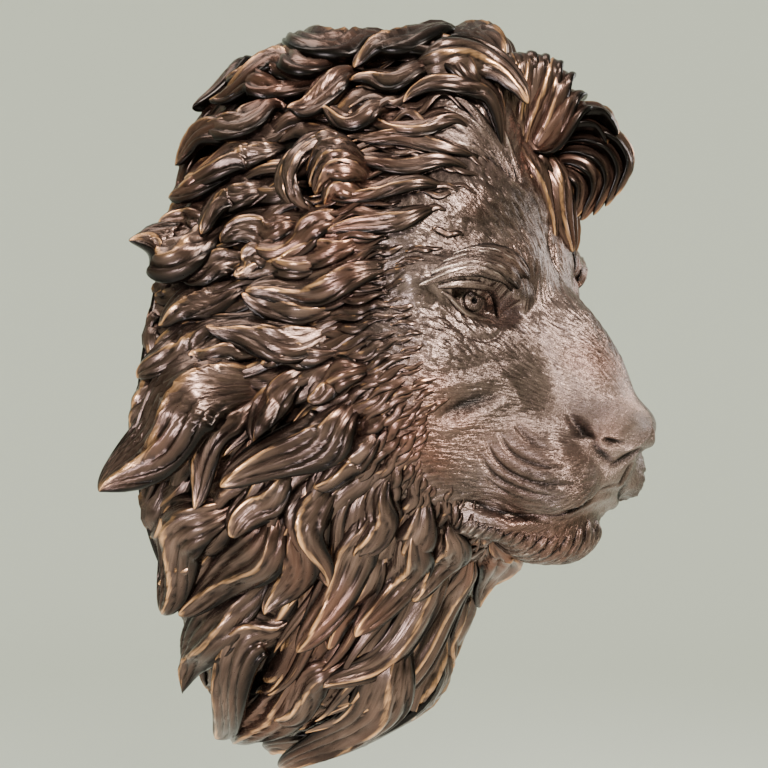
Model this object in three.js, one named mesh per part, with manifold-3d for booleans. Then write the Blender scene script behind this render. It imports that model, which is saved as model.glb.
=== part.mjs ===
// A lion's head with a full mane, cast in one piece of bronze and hung on a wall as a mask.
// Millimetres, +Z up. The flat back lies in the plane y = 0, where the wall is, the lion looks along -Y,
// and x = 0 is its centre-line. The head is a blend of rounded forms, the locks of hair are tapered
// sweeps that start in it, and all of it is joined into the one solid that the casting is.
import * as THREE from 'three';
import { mergeVertices } from 'three/addons/utils/BufferGeometryUtils.js';
import Module from 'manifold-3d';

const wasm = await Module();
wasm.setup();

// Driving sizes.
const MASK_HEIGHT = 612;        // lowest lock to crown
const TABLE_HEIGHT = 612;       // the height at which the tables of forms and locks below are written
const LOCK_FULLNESS = 0.36;     // half the height of a lock's section as a share of its width
const LOCK_ROLL = 16;           // degrees that a lock's section leans, so one edge stands over the next
const AXIS_Z = -20;             // height of the line from which the mane's clock angles are taken
const HUB_DEPTH = -150;         // depth on that line of the point from which the face is laid out
const REACH = 430;              // a distance from the axis that lies outside the whole head

// Facets: enough for the forms to read, with the finer carving left to the finish.
const MANE_SPOKES = 36;         // points in a ring under the mane, and twice as many on the face
const MANE_DEPTHS = [0, -75];
const MANE_SWINGS = [0, 13, 25];
const FACE_SWINGS = [33, 38, 42, 45.5, 49, 52, 55, 58, 61, 64, 67.5, 71, 75, 79, 84];
const LOCK_SHARES = [0, 0.3, 0.6, 0.88, 1];
const TUFT_SHARES = [0, 0.25, 0.5, 0.72, 0.92, 1];
const LOCK_SIDES = 4;

const growth = MASK_HEIGHT / TABLE_HEIGHT;
const radians = THREE.MathUtils.degToRad;

// Rounded forms that blend into the head: [kind, name, data, blend]. A ball is [centre, radii, tilt] and a
// cord is a list of [x, y, z, radius]. Both halves of the face are the same, so x is measured from the
// centre-line. A kind that ends in "cut" is taken away from what stands before it.
const FORMS = [
  ['ball', 'mane core', [[0, 0, -20], [136, 290, 222], [0, 0, 0]], 1],
  ['ball', 'mane side', [[50, 0, -80], [102, 190, 135], [0, 0, 0]], 40],
  ['ball', 'mane crown', [[0, -85, 120], [104, 140, 122], [0, 0, 0]], 40],
  ['ball', 'mane crest', [[0, -190, 168], [66, 72, 78], [0, 0, 0]], 30],
  ['ball', 'mane throat', [[0, -40, -205], [96, 140, 118], [0, 0, 0]], 40],
  ['ball', 'cranium', [[0, -165, 80], [108, 98, 88], [0, 0, 0]], 30],
  ['ball', 'face mass', [[0, -186, 0], [108, 80, 100], [0, 0, 0]], 30],
  ['ball', 'jaw', [[0, -205, -80], [92, 88, 62], [0, 0, 0]], 30],
  ['ball', 'bridge', [[0, -298, -6], [33, 42, 92], [-39, 0, 0]], 28],
  ['ball', 'muzzle', [[0, -272, -74], [66, 78, 46], [22, 0, 0]], 30],
  ['ball', 'lip pad', [[34, -300, -88], [35, 50, 37], [18, 10, 0]], 14],
  ['ball', 'nose pad', [[0, -345, -56], [37, 34, 22], [-14, 0, 0]], 10],
  ['ball', 'chin', [[0, -292, -134], [42, 44, 28], [5, 0, 0]], 10],
  ['cord', 'lower lip', [[54, -250, -130, 10], [44, -282, -132, 14], [0, -312, -128, 18]], 10],
  ['ball', 'cheek', [[72, -205, -25], [42, 56, 62], [0, 0, 0]], 30],
  ['ball', 'cheek bone', [[66, -236, 2], [28, 24, 20], [0, 0, 0]], 22],
  ['cord', 'brow', [[20, -270, 76, 22], [50, -262, 72, 18], [86, -228, 62, 12]], 18],
  ['ball cut', 'eye socket', [[56, -276, 38], [27, 16, 13], [0, 31, -28]], 12],
  ['ball', 'eyelid', [[60, -238, 40], [25, 24, 24], [0, 0, 0]], 5],
  ['ball cut', 'eye opening', [[60, -262, 38], [27, 16, 11], [0, 28, -34]], 2],
  ['ball', 'eyeball', [[60, -240, 40], [20, 20, 20], [0, 0, 0]], 1],
  ['cord cut', 'mouth', [[60, -246, -117, 3], [54, -275, -127, 3], [38, -312, -124, 3],
    [14, -338, -112, 3], [0, -342, -106, 3]], 3],
  ['cord cut', 'philtrum', [[0, -352, -80, 3], [0, -346, -106, 3]], 6],
  ['cord cut', 'nostril', [[15, -356, -68, 5], [26, -349, -66, 7], [35, -335, -58, 5], [41, -325, -48, 3]], 3],
];

// Locks that lie on the mane, each from its root over its middle to its tip. A place is
// [clock, depth]: the clock angle is seen from the front, 0 at the crown and growing towards the lion's
// right cheek, and the depth is y. Then come the width and how far the tip stands off the mane.
// Each is carved on the right of the head and again, slightly changed, on its left.
const SIDE_LOCKS = [
  // Behind the ear and above it, blown back from the crown.
  [[6, -40], [8, -10], [20, -4], 34, 12],
  [[16, -120], [14, -70], [20, -25], 34, 14],
  [[24, -95], [24, -40], [32, -8], 32, 14],
  [[30, -92], [33, -55], [39, -8], 30, 14],
  [[36, -100], [38, -68], [48, -52], 30, 18],
  [[42, -65], [52, -25], [53, -5], 36, 40],
  // Beside the cheek, flowing back to the wall.
  [[49, -92], [55, -62], [59, -32], 28, 16],
  [[58, -90], [66, -52], [76, -22], 30, 16],
  [[70, -88], [80, -42], [92, -8], 32, 14],
  [[50, -212], [56, -155], [63, -95], 28, 14],
  [[62, -172], [66, -130], [64, -92], 24, 14],
  [[72, -166], [77, -122], [76, -68], 30, 18],
  [[80, -132], [80, -82], [85, -56], 26, 18],
  [[86, -150], [97, -120], [109, -112], 26, 14],
  [[97, -190], [110, -155], [119, -88], 36, 20],
  [[90, -118], [99, -55], [118, -5], 62, 46],
  [[94, -112], [104, -82], [124, -62], 30, 18],
  [[84, -50], [94, -20], [106, -3], 34, 12],
  // The beard's side, falling below the jaw.
  [[116, -140], [124, -110], [132, -84], 28, 12],
  [[124, -92], [133, -35], [149, -5], 40, 20],
  [[126, -118], [139, -92], [149, -20], 34, 18],
  [[128, -140], [141, -125], [151, -92], 30, 16],
  [[122, -165], [133, -140], [150, -140], 30, 16],
  [[126, -205], [140, -182], [148, -165], 28, 10],
  [[135, -192], [149, -158], [159, -108], 32, 18],
  [[142, -216], [158, -190], [162, -146], 32, 16],
  [[146, -105], [152, -38], [163, -4], 40, 26],
  [[154, -105], [157, -65], [171, -6], 38, 28],
  [[162, -112], [167, -62], [173, -10], 34, 24],
  [[150, -235], [164, -215], [166, -180], 28, 12],
  [[172, -175], [173, -135], [177, -40], 38, 30],
];

// Locks on or near the centre-line, which has no mirrored partner.
const MIDDLE_LOCKS = [
  [[4, -165], [6, -90], [4, -28], 62, 16],
  [[-10, -120], [-8, -60], [-3, -8], 44, 12],
  [[2, -215], [6, -180], [14, -150], 40, 14],
  [[13, -190], [8, -226], [3, -258], 32, 12],
  [[-13, -185], [-10, -222], [-5, -256], 30, 10],
  [[178, -222], [178, -180], [165, -108], 40, 20],
  [[184, -178], [184, -148], [183, -112], 36, 18],
  [[-170, -190], [-168, -150], [-172, -80], 36, 20],
  [[180, -120], [180, -70], [180, -14], 44, 22],
  [[172, -246], [186, -232], [190, -178], 36, 20],
  [[190, -190], [190, -165], [188, -150], 26, 14],
];

// Tufts that stand free of the head, as points in space with a width: the crest of the parting, the fan
// that rises from the forehead, the curls that fall forward of it, and the rim and the tuft of each ear.
const FORELOCK = [
  [[[0, -150, 232], [-2, -200, 246], [-4, -238, 238], [-8, -250, 205]], 54],
  [[[4, -248, 168], [2, -264, 205], [-6, -254, 238]], 42],
  [[[8, -250, 165], [12, -274, 200], [12, -274, 234]], 44],
  [[[12, -252, 160], [26, -282, 186], [30, -290, 212]], 40],
  [[[14, -258, 168], [34, -298, 184], [46, -320, 174], [44, -314, 160]], 36],
  [[[20, -258, 158], [46, -304, 170], [56, -324, 148], [52, -312, 122], [42, -292, 114]], 44],
  [[[12, -258, 150], [34, -284, 148], [44, -292, 130]], 32],
];
const EARS = [
  [[[98, -182, 150], [108, -154, 168], [106, -126, 158], [102, -112, 130], [96, -110, 98]], 26],
  [[[88, -180, 152], [116, -162, 146], [120, -150, 116]], 48],
];

function smoothLeast(a, b, blend) {
  const near = Math.max(blend - Math.abs(a - b), 0) / blend;
  return Math.min(a, b) - near * near * blend / 4;
}

function smoothMost(a, b, blend) {
  return -smoothLeast(-a, -b, blend);
}

// A ball's own axes, turned by pitch about X, yaw about Z and roll about Y.
function ballTurn([pitch, yaw, roll]) {
  const turn = new THREE.Matrix4().makeRotationZ(radians(yaw));
  turn.multiply(new THREE.Matrix4().makeRotationX(radians(pitch)));
  turn.multiply(new THREE.Matrix4().makeRotationY(radians(roll)));
  return turn.invert();
}

// Each form becomes a function that gives the rough distance from a point to its surface.
function ballDistance([centre, radii, tilt]) {
  const middle = new THREE.Vector3(...centre);
  const size = new THREE.Vector3(...radii);
  const turn = ballTurn(tilt);
  const place = new THREE.Vector3();
  const slope = new THREE.Vector3();
  return (point) => {
    place.copy(point).sub(middle).applyMatrix4(turn).divide(size);
    slope.copy(place).divide(size);
    const level = place.length();
    return level * (level - 1) / Math.max(slope.length(), 1e-6);
  };
}

function cordDistance(points) {
  const spots = points.map(([x, y, z]) => new THREE.Vector3(x, y, z));
  const line = new THREE.Line3();
  const nearest = new THREE.Vector3();
  return (point) => {
    let least = Infinity;
    for (let i = 0; i + 1 < points.length; i += 1) {
      line.set(spots[i], spots[i + 1]);
      const share = line.closestPointToPointParameter(point, true);
      line.at(share, nearest);
      const radius = THREE.MathUtils.lerp(points[i][3], points[i + 1][3], share);
      least = Math.min(least, nearest.distanceTo(point) - radius);
    }
    return least;
  };
}

const forms = FORMS.map(([kind, , data, blend]) => ({
  cut: kind.endsWith('cut'),
  blend,
  distance: kind.startsWith('ball') ? ballDistance(data) : cordDistance(data),
}));

// Below zero inside the head, above zero outside.
function headLevel(point) {
  const half = new THREE.Vector3(Math.abs(point.x), point.y, point.z);
  return forms.reduce((level, form) => {
    const own = form.distance(half);
    return form.cut ? smoothMost(level, -own, form.blend) : smoothLeast(level, own, form.blend);
  }, Infinity);
}

// The outermost point of the head on the line that leaves `start` along `way`.
function skin(start, way) {
  const point = new THREE.Vector3();
  let reach = REACH;
  for (let step = 0; step < 90; step += 1) {
    point.copy(way).multiplyScalar(reach).add(start);
    const level = headLevel(point);
    if (Math.abs(level) < 0.02) break;
    reach -= Math.max(level, -2) * 0.8;
  }
  return point;
}

function clockWay(clock) {
  return new THREE.Vector3(-Math.sin(radians(clock)), 0, Math.cos(radians(clock)));
}

function maneSkin(clock, depth) {
  return skin(new THREE.Vector3(0, depth, AXIS_Z), clockWay(clock));
}

// The way that the head's surface faces, from how the level grows about the point.
function facing(point) {
  const step = 1.5;
  const grow = (x, y, z) => headLevel(new THREE.Vector3(point.x + x, point.y + y, point.z + z));
  const slope = new THREE.Vector3(
    grow(step, 0, 0) - grow(-step, 0, 0),
    grow(0, step, 0) - grow(0, -step, 0),
    grow(0, 0, step) - grow(0, 0, -step),
  );
  return slope.normalize();
}

// A closed mesh from rings of points, where a ring has as many points as the one before it or twice as
// many. The two ends are fans about one point each.
function ringMesh(rings, first, last) {
  const spots = [...rings.flat(), first, last];
  const corners = [];
  let start = 0;
  for (let r = 0; r + 1 < rings.length; r += 1) {
    const sides = rings[r].length;
    const next = start + sides;
    const doubled = rings[r + 1].length > sides;
    for (let s = 0; s < sides; s += 1) {
      const t = (s + 1) % sides;
      const [a, b] = [start + s, start + t];
      if (doubled) {
        const [c, d, e] = [next + 2 * s, next + 2 * s + 1, next + 2 * t];
        corners.push(a, b, d, b, e, d, a, d, c);
      } else {
        corners.push(a, b, next + t, a, next + t, next + s);
      }
    }
    start = next;
  }
  const firstSpot = spots.length - 2;
  const lastSpot = spots.length - 1;
  const closeEnd = (tip, from, sides, flip) => {
    for (let s = 0; s < sides; s += 1) {
      const pair = [from + s, from + (s + 1) % sides];
      corners.push(tip, ...(flip ? pair.reverse() : pair));
    }
  };
  closeEnd(firstSpot, 0, rings[0].length, true);
  closeEnd(lastSpot, start, rings.at(-1).length, false);
  const geometry = new THREE.BufferGeometry();
  geometry.setAttribute('position', new THREE.Float32BufferAttribute(spots.flatMap((v) => v.toArray()), 3));
  geometry.setIndex(corners);
  return geometry;
}

// Boolean solids are made from closed meshes whose shared corners are merged.
function solidOf(geometry) {
  const bare = geometry.clone();
  bare.deleteAttribute('normal');
  bare.deleteAttribute('uv');
  const merged = mergeVertices(bare, 1e-4);
  const mesh = new wasm.Mesh({
    numProp: 3,
    vertProperties: new Float32Array(merged.attributes.position.array),
    triVerts: new Uint32Array(merged.index.array),
  });
  const solid = new wasm.Manifold(mesh);
  if (solid.volume() > 0) return solid;
  throw new Error('a form is inside out');
}

function geometryOf(solid) {
  const mesh = solid.getMesh();
  const geometry = new THREE.BufferGeometry();
  geometry.setAttribute('position', new THREE.BufferAttribute(mesh.vertProperties, 3));
  geometry.setIndex(new THREE.BufferAttribute(mesh.triVerts, 1));
  geometry.computeVertexNormals();
  return geometry;
}

// The head itself: rings about the axis behind the hub, then rings that swing forward about the hub and
// close on the nose.
function headGeometry() {
  const spread = (count) => Array.from({ length: count }, (_, i) => 360 * i / count);
  const hub = new THREE.Vector3(0, HUB_DEPTH, AXIS_Z);
  const front = new THREE.Vector3(0, -1, 0);
  const swungRing = (swing, count) => spread(count).map((clock) => {
    const way = clockWay(clock).multiplyScalar(Math.cos(radians(swing)));
    return skin(hub, way.addScaledVector(front, Math.sin(radians(swing))));
  });
  const rings = [
    ...MANE_DEPTHS.map((depth) => spread(MANE_SPOKES).map((clock) => maneSkin(clock, depth))),
    ...MANE_SWINGS.map((swing) => swungRing(swing, MANE_SPOKES)),
    ...FACE_SWINGS.map((swing) => swungRing(swing, 2 * MANE_SPOKES)),
  ];
  return ringMesh(rings, new THREE.Vector3(0, 0, AXIS_Z), skin(hub, front));
}

// A lock's half width grows from the root to the middle of its length and closes in a blunt tip.
function lockBreadth(share) {
  return (0.6 + 0.4 * Math.sin(Math.PI * share ** 0.9)) * Math.sqrt(1 - share ** 3);
}

// A tapered sweep along `spots`, with `ups` the way that its back faces at each of them.
function lockGeometry(spots, ups, shares, width, roll) {
  const last = spots.length - 1;
  const rings = [];
  for (let i = 0; i < last; i += 1) {
    const along = spots[Math.min(i + 1, last)].clone().sub(spots[Math.max(i - 1, 0)]).normalize();
    const up = ups[i].clone().addScaledVector(along, -ups[i].dot(along)).normalize();
    up.applyAxisAngle(along, radians(roll));
    const side = new THREE.Vector3().crossVectors(up, along);
    const breadth = lockBreadth(shares[i]) * width / 2;
    const height = breadth * 2 * LOCK_FULLNESS;
    rings.push(Array.from({ length: LOCK_SIDES }, (_, s) => {
      const turn = 2 * Math.PI * s / LOCK_SIDES + Math.PI / 2;
      return spots[i].clone().addScaledVector(side, breadth * Math.cos(turn))
        .addScaledVector(up, height * Math.sin(turn));
    }));
  }
  return ringMesh(rings, spots[0].clone(), spots[last].clone());
}

// The curve through root, middle and tip in clock and depth, carried over the mane: the root starts
// inside the hair and the tip stands off it.
function maneLock([root, middle, tip, width, tipLift], side, change) {
  const flat = [root, middle, tip].map(([clock, depth]) => new THREE.Vector2(clock, depth));
  const path = new THREE.SplineCurve(flat);
  const spots = [];
  const ups = [];
  LOCK_SHARES.forEach((share) => {
    const place = path.getPoint(share);
    const depth = Math.min(place.y + change * 3 * (1 - share), 0);
    const spot = maneSkin(side * (place.x + change), depth);
    const up = facing(spot);
    const lift = width * 0.06 + tipLift * share ** 2.5;
    spots.push(spot.addScaledVector(up, lift));
    ups.push(up);
  });
  return lockGeometry(spots, ups, LOCK_SHARES, width, LOCK_ROLL * side);
}

// A tuft through points in space. Its back faces away from the middle of the head.
function freeTuft([points, width], side) {
  const curve = new THREE.CatmullRomCurve3(points.map(([x, y, z]) => new THREE.Vector3(side * x, y, z)));
  const spots = TUFT_SHARES.map((share) => curve.getPoint(share));
  const middle = new THREE.Vector3(0, -180, 60);
  const ups = spots.map((spot) => spot.clone().sub(middle).normalize());
  return lockGeometry(spots, ups, TUFT_SHARES, width, 0);
}

function maskSolid() {
  const pieces = [headGeometry()];
  SIDE_LOCKS.forEach((lock, i) => {
    pieces.push(maneLock(lock, 1, 0));
    pieces.push(maneLock(lock, -1, 2 * Math.sin(i * 2.4)));
  });
  MIDDLE_LOCKS.forEach((lock) => pieces.push(maneLock(lock, 1, 0)));
  FORELOCK.forEach((tuft) => pieces.push(freeTuft(tuft, 1)));
  EARS.forEach((tuft) => pieces.push(freeTuft(tuft, 1), freeTuft(tuft, -1)));
  let solid = pieces.map(solidOf).reduce((whole, piece) => whole.add(piece));
  // The wall: all that would stand behind the flat back is cut away.
  const wall = new THREE.BoxGeometry(4 * REACH, REACH, 4 * REACH).translate(0, REACH / 2, 0);
  solid = solid.subtract(solidOf(wall));
  return solid;
}

const bronze = new THREE.MeshStandardMaterial({ color: '#5a463c', roughness: 0.45, metalness: 0.85 });
const mask = new THREE.Mesh(geometryOf(maskSolid()).scale(growth, growth, growth), bronze);
mask.name = 'lion_head_mask';

const group = new THREE.Group();
group.add(mask);

export default group;
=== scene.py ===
# A lion's head wall mask in patinated bronze: the fine surface that the founder's wax would carry.
# Lengths in the tables are millimetres in the part's own frame: +Z up, the wall is y = 0, the lion
# looks along -Y and x = 0 is its centre-line. Meshes are made in metres.
import math

import bpy
import numpy as np
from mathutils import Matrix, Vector


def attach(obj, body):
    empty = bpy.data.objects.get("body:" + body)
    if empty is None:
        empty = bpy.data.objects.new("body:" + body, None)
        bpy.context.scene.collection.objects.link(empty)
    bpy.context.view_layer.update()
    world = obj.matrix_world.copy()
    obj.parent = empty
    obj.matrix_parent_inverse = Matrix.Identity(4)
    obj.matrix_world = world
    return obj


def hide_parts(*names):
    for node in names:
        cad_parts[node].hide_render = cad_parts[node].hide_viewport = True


bl_info = {
    "name": "Lion head wall mask",
    "version": (1, 0, 0),
    "blender": (4, 5, 0),
    "location": "View3D > Sidebar > Lion mask",
    "description": "Builds the carved face, mane, ears and forelock of a bronze lion head wall mask",
    "category": "Object",
}

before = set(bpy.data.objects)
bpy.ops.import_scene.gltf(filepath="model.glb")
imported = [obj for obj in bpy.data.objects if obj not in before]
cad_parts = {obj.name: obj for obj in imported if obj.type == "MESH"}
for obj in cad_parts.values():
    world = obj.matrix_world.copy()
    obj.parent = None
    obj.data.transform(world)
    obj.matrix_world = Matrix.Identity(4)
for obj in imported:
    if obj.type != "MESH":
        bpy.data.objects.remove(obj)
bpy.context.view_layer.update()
NODE = "lion_head_mask"
BODY = "root"
MM = 0.001

# The line that the mane's clock angles turn about, and the point from which the face is laid out.
AXIS_Z = -20.0
HUB_DEPTH = -150.0
REACH = 430.0

# Rounded forms that blend into the head, as in the solid: (kind, name, data, blend). A ball is centre,
# radii and tilt, a cord is x, y, z and radius at each point, and x is measured from the centre-line.
FORMS = [
    ("ball", "mane core", ((0, 0, -20), (136, 290, 222), (0, 0, 0)), 1),
    ("ball", "mane side", ((50, 0, -80), (102, 190, 135), (0, 0, 0)), 40),
    ("ball", "mane crown", ((0, -85, 120), (104, 140, 122), (0, 0, 0)), 40),
    ("ball", "mane crest", ((0, -190, 168), (66, 72, 78), (0, 0, 0)), 30),
    ("ball", "mane throat", ((0, -40, -205), (96, 140, 118), (0, 0, 0)), 40),
    ("ball", "cranium", ((0, -165, 80), (108, 98, 88), (0, 0, 0)), 30),
    ("ball", "face mass", ((0, -186, 0), (108, 80, 100), (0, 0, 0)), 30),
    ("ball", "jaw", ((0, -205, -80), (92, 88, 62), (0, 0, 0)), 30),
    ("ball", "bridge", ((0, -298, -6), (33, 42, 92), (-39, 0, 0)), 28),
    ("ball", "muzzle", ((0, -272, -74), (66, 78, 46), (22, 0, 0)), 30),
    ("ball", "lip pad", ((34, -300, -88), (35, 50, 37), (18, 10, 0)), 14),
    ("ball", "nose pad", ((0, -344, -60), (36, 33, 23), (-16, 0, 0)), 12),
    ("ball", "septum", ((0, -330, -84), (24, 24, 24), (0, 0, 0)), 14),
    ("ball", "chin", ((0, -284, -136), (42, 42, 28), (5, 0, 0)), 12),
    ("cord", "lower lip", ((54, -248, -128, 11), (44, -278, -130, 14), (0, -304, -126, 17)), 10),
    ("ball", "cheek", ((72, -205, -25), (42, 56, 62), (0, 0, 0)), 30),
    ("ball", "cheek bone", ((66, -236, 2), (28, 24, 20), (0, 0, 0)), 22),
    ("ball", "snout side", ((38, -256, -22), (34, 42, 46), (0, 0, 0)), 30),
    ("ball", "forehead", ((0, -206, 98), (86, 74, 54), (-12, 0, 0)), 34),
    ("cord", "brow", ((22, -266, 66, 22), (50, -256, 62, 19), (84, -226, 56, 12)), 26),
    ("cord", "brow fold", ((96, -224, 58, 7), (82, -246, 63, 9), (66, -262, 62, 10), (50, -273, 56, 11),
                           (38, -281, 44, 9)), 9),
    ("ball cut", "eye socket", ((60, -266, 37), (26, 20, 12), (0, 31, -22)), 7),
    ("cord cut", "mouth gap", ((56, -282, -126, 2), (50, -304, -125, 4), (46, -330, -120, 5),
                               (34, -342, -114, 5), (0, -348, -108, 5)), 4),
]

# Lines carved in the face, seated on its skin: name, path, half width and height, which is below zero
# for a groove.
FACE_LINES = [
    ("mouth", ((67, -246, -112), (63, -255, -115), (58, -265, -118), (56, -278, -121), (48, -295, -125),
               (43, -314, -125)), 3.0, -3.4),
    ("front mouth", ((50, -290, -124), (43, -314, -125), (39, -329, -119), (27, -338, -113), (20, -345, -105),
                     (6, -350, -99)), 5.0, -3.6),
    ("lower lip ridge", ((65, -251, -120), (61, -262, -123), (56, -279, -127), (47, -297, -131),
                         (35, -313, -131), (20, -327, -124), (6, -334, -116)), 4.5, 2.6),
    ("nostril", ((34, -327, -46), (36, -333, -54), (38, -338, -58), (36, -345, -63)), 4.2, -9.0),
    ("front nostril", ((33, -354, -63), (29, -358, -66), (22, -364, -67)), 2.6, -6.0),
    ("nose side", ((37, -344, -64), (32, -350, -73), (24, -355, -80), (17, -358, -85)), 2.4, -3.4),
    ("nose edge", ((0, -377, -54), (6, -374, -63), (13, -370, -68), (19, -364, -73)), 3.4, 3.0),
    ("under the nose", ((0, -370, -72), (6, -366, -76), (13, -360, -81), (19, -353, -86)), 4.0, -4.0),
    ("philtrum", ((1, -356, -82), (1, -352, -92), (1, -346, -103)), 2.6, -4.5),
    ("cheek crease", ((98, -248, -48), (88, -258, -40), (78, -272, -34), (68, -286, -30)), 9.0, -3.4),
    ("cheek ridge", ((94, -248, -58), (86, -258, -52), (78, -273, -44), (66, -290, -38)), 8.0, 2.6),
    ("cheek bone ridge", ((98, -238, -28), (88, -254, -22), (76, -270, -20), (66, -284, -19), (61, -294, -26),
                          (60, -302, -38)), 7.0, 2.6),
    ("whisker line 1", ((63, -295, -53), (62, -301, -60), (62, -311, -66), (58, -328, -71)), 2.4, -2.0),
    ("whisker line 2", ((69, -285, -59), (69, -291, -70), (69, -303, -78), (66, -323, -83), (57, -340, -85)),
     2.5, -2.6),
    ("whisker line 3", ((73, -276, -65), (72, -280, -76), (70, -291, -87), (69, -313, -95), (60, -337, -97),
                        (34, -349, -93)), 2.5, -2.6),
    ("whisker line 4", ((74, -272, -77), (72, -276, -87), (69, -287, -96), (67, -310, -103),
                        (59, -334, -105)), 2.5, -2.4),
    ("whisker line 5", ((71, -272, -92), (66, -280, -101), (64, -296, -108), (62, -316, -111)), 2.2, -1.8),
    ("inner corner", ((47, -262, 30), (46, -268, 40), (48, -278, 48), (40, -286, 58)), 5.0, -1.9),
    ("under the eye", ((88, -243, 34), (82, -252, 20), (74, -262, 11), (60, -269, 10), (46, -266, 19)),
     3.4, -1.4),
    ("tear duct", ((46, -262, 27), (42, -264, 20), (38, -270, 10)), 2.0, -2.4),
    ("brow furrow", ((2, -290, 96), (2, -291, 80), (3, -291, 62)), 4.0, -2.4),
    ("bridge side", ((24, -286, 46), (30, -296, 20), (32, -312, -8), (33, -326, -30)), 8.0, 2.0),
]

# The eye, on the lion's left: centre, gaze and radius, the radii of iris and pupil, and the folds of
# skin that are its lids: name, path and width.
EYE_CENTRE = (54, -242, 39)
EYE_GAZE = (0.50, -0.86, 0.06)
EYE_RADIUS = 19.0
IRIS_RADIUS = 8.8
PUPIL_RADIUS = 2.4
LID_FOLDS = [
    ("upper lid", ((93, -243, 51), (88, -250, 52), (82, -257, 53), (74, -263, 53), (66, -267, 52),
                   (57, -269, 50), (48, -268, 44), (42, -266, 36), (40, -265, 27)), 9),
    ("lower lid", ((90, -245, 48), (84, -250, 43), (79, -253, 37), (73, -257, 31), (65, -260, 28),
                   (56, -262, 26), (48, -264, 24), (41, -266, 19)), 5),
]

# Long tufts that lie along the brow, from its inner end outwards: path, width and lift of the tip.
BROW_TUFTS = [
    (((28, -294, 54), (40, -290, 66), (54, -284, 78), (70, -274, 84), (88, -258, 80)), 17, 1),
    (((34, -291, 54), (46, -287, 66), (60, -279, 74), (76, -266, 76), (92, -250, 70)), 17, 2),
    (((40, -288, 46), (50, -284, 56), (62, -277, 66), (78, -264, 69), (98, -242, 62)), 19, 3),
    (((46, -284, 44), (58, -280, 57), (70, -270, 63), (84, -256, 62), (102, -234, 54)), 16, 4),
]

# Thin tufts that carry the forehead's fur under the arched lock: path, width and lift of the tip.
FOREHEAD_TUFTS = [
    (((27, -276, 119), (27, -262, 150), (39, -247, 179), (49, -231, 195)), 12, 3),
    (((29, -273, 127), (32, -257, 156), (45, -242, 178), (55, -226, 188)), 12, 3),
    (((31, -268, 134), (38, -253, 156), (48, -239, 171), (58, -223, 181)), 12, 3),
    (((33, -263, 141), (42, -249, 158), (53, -235, 168), (61, -218, 175)), 11, 3),
    (((36, -259, 145), (46, -245, 155), (56, -231, 164), (64, -213, 168)), 11, 3),
    (((42, -255, 147), (53, -241, 154), (61, -227, 159), (68, -208, 162)), 11, 3),
    (((22, -278, 124), (20, -266, 152), (30, -250, 184), (38, -236, 204)), 12, 3),
]

# The line under the lower lip that the short beard hangs from, on the lion's left.
BEARD_LINE = ((62, -256, -124), (59, -268, -127), (55, -281, -131), (46, -297, -135), (34, -311, -139),
              (20, -323, -135), (3, -331, -128))
BEARD_ROWS = 4
BEARD_COUNT = 13

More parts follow.
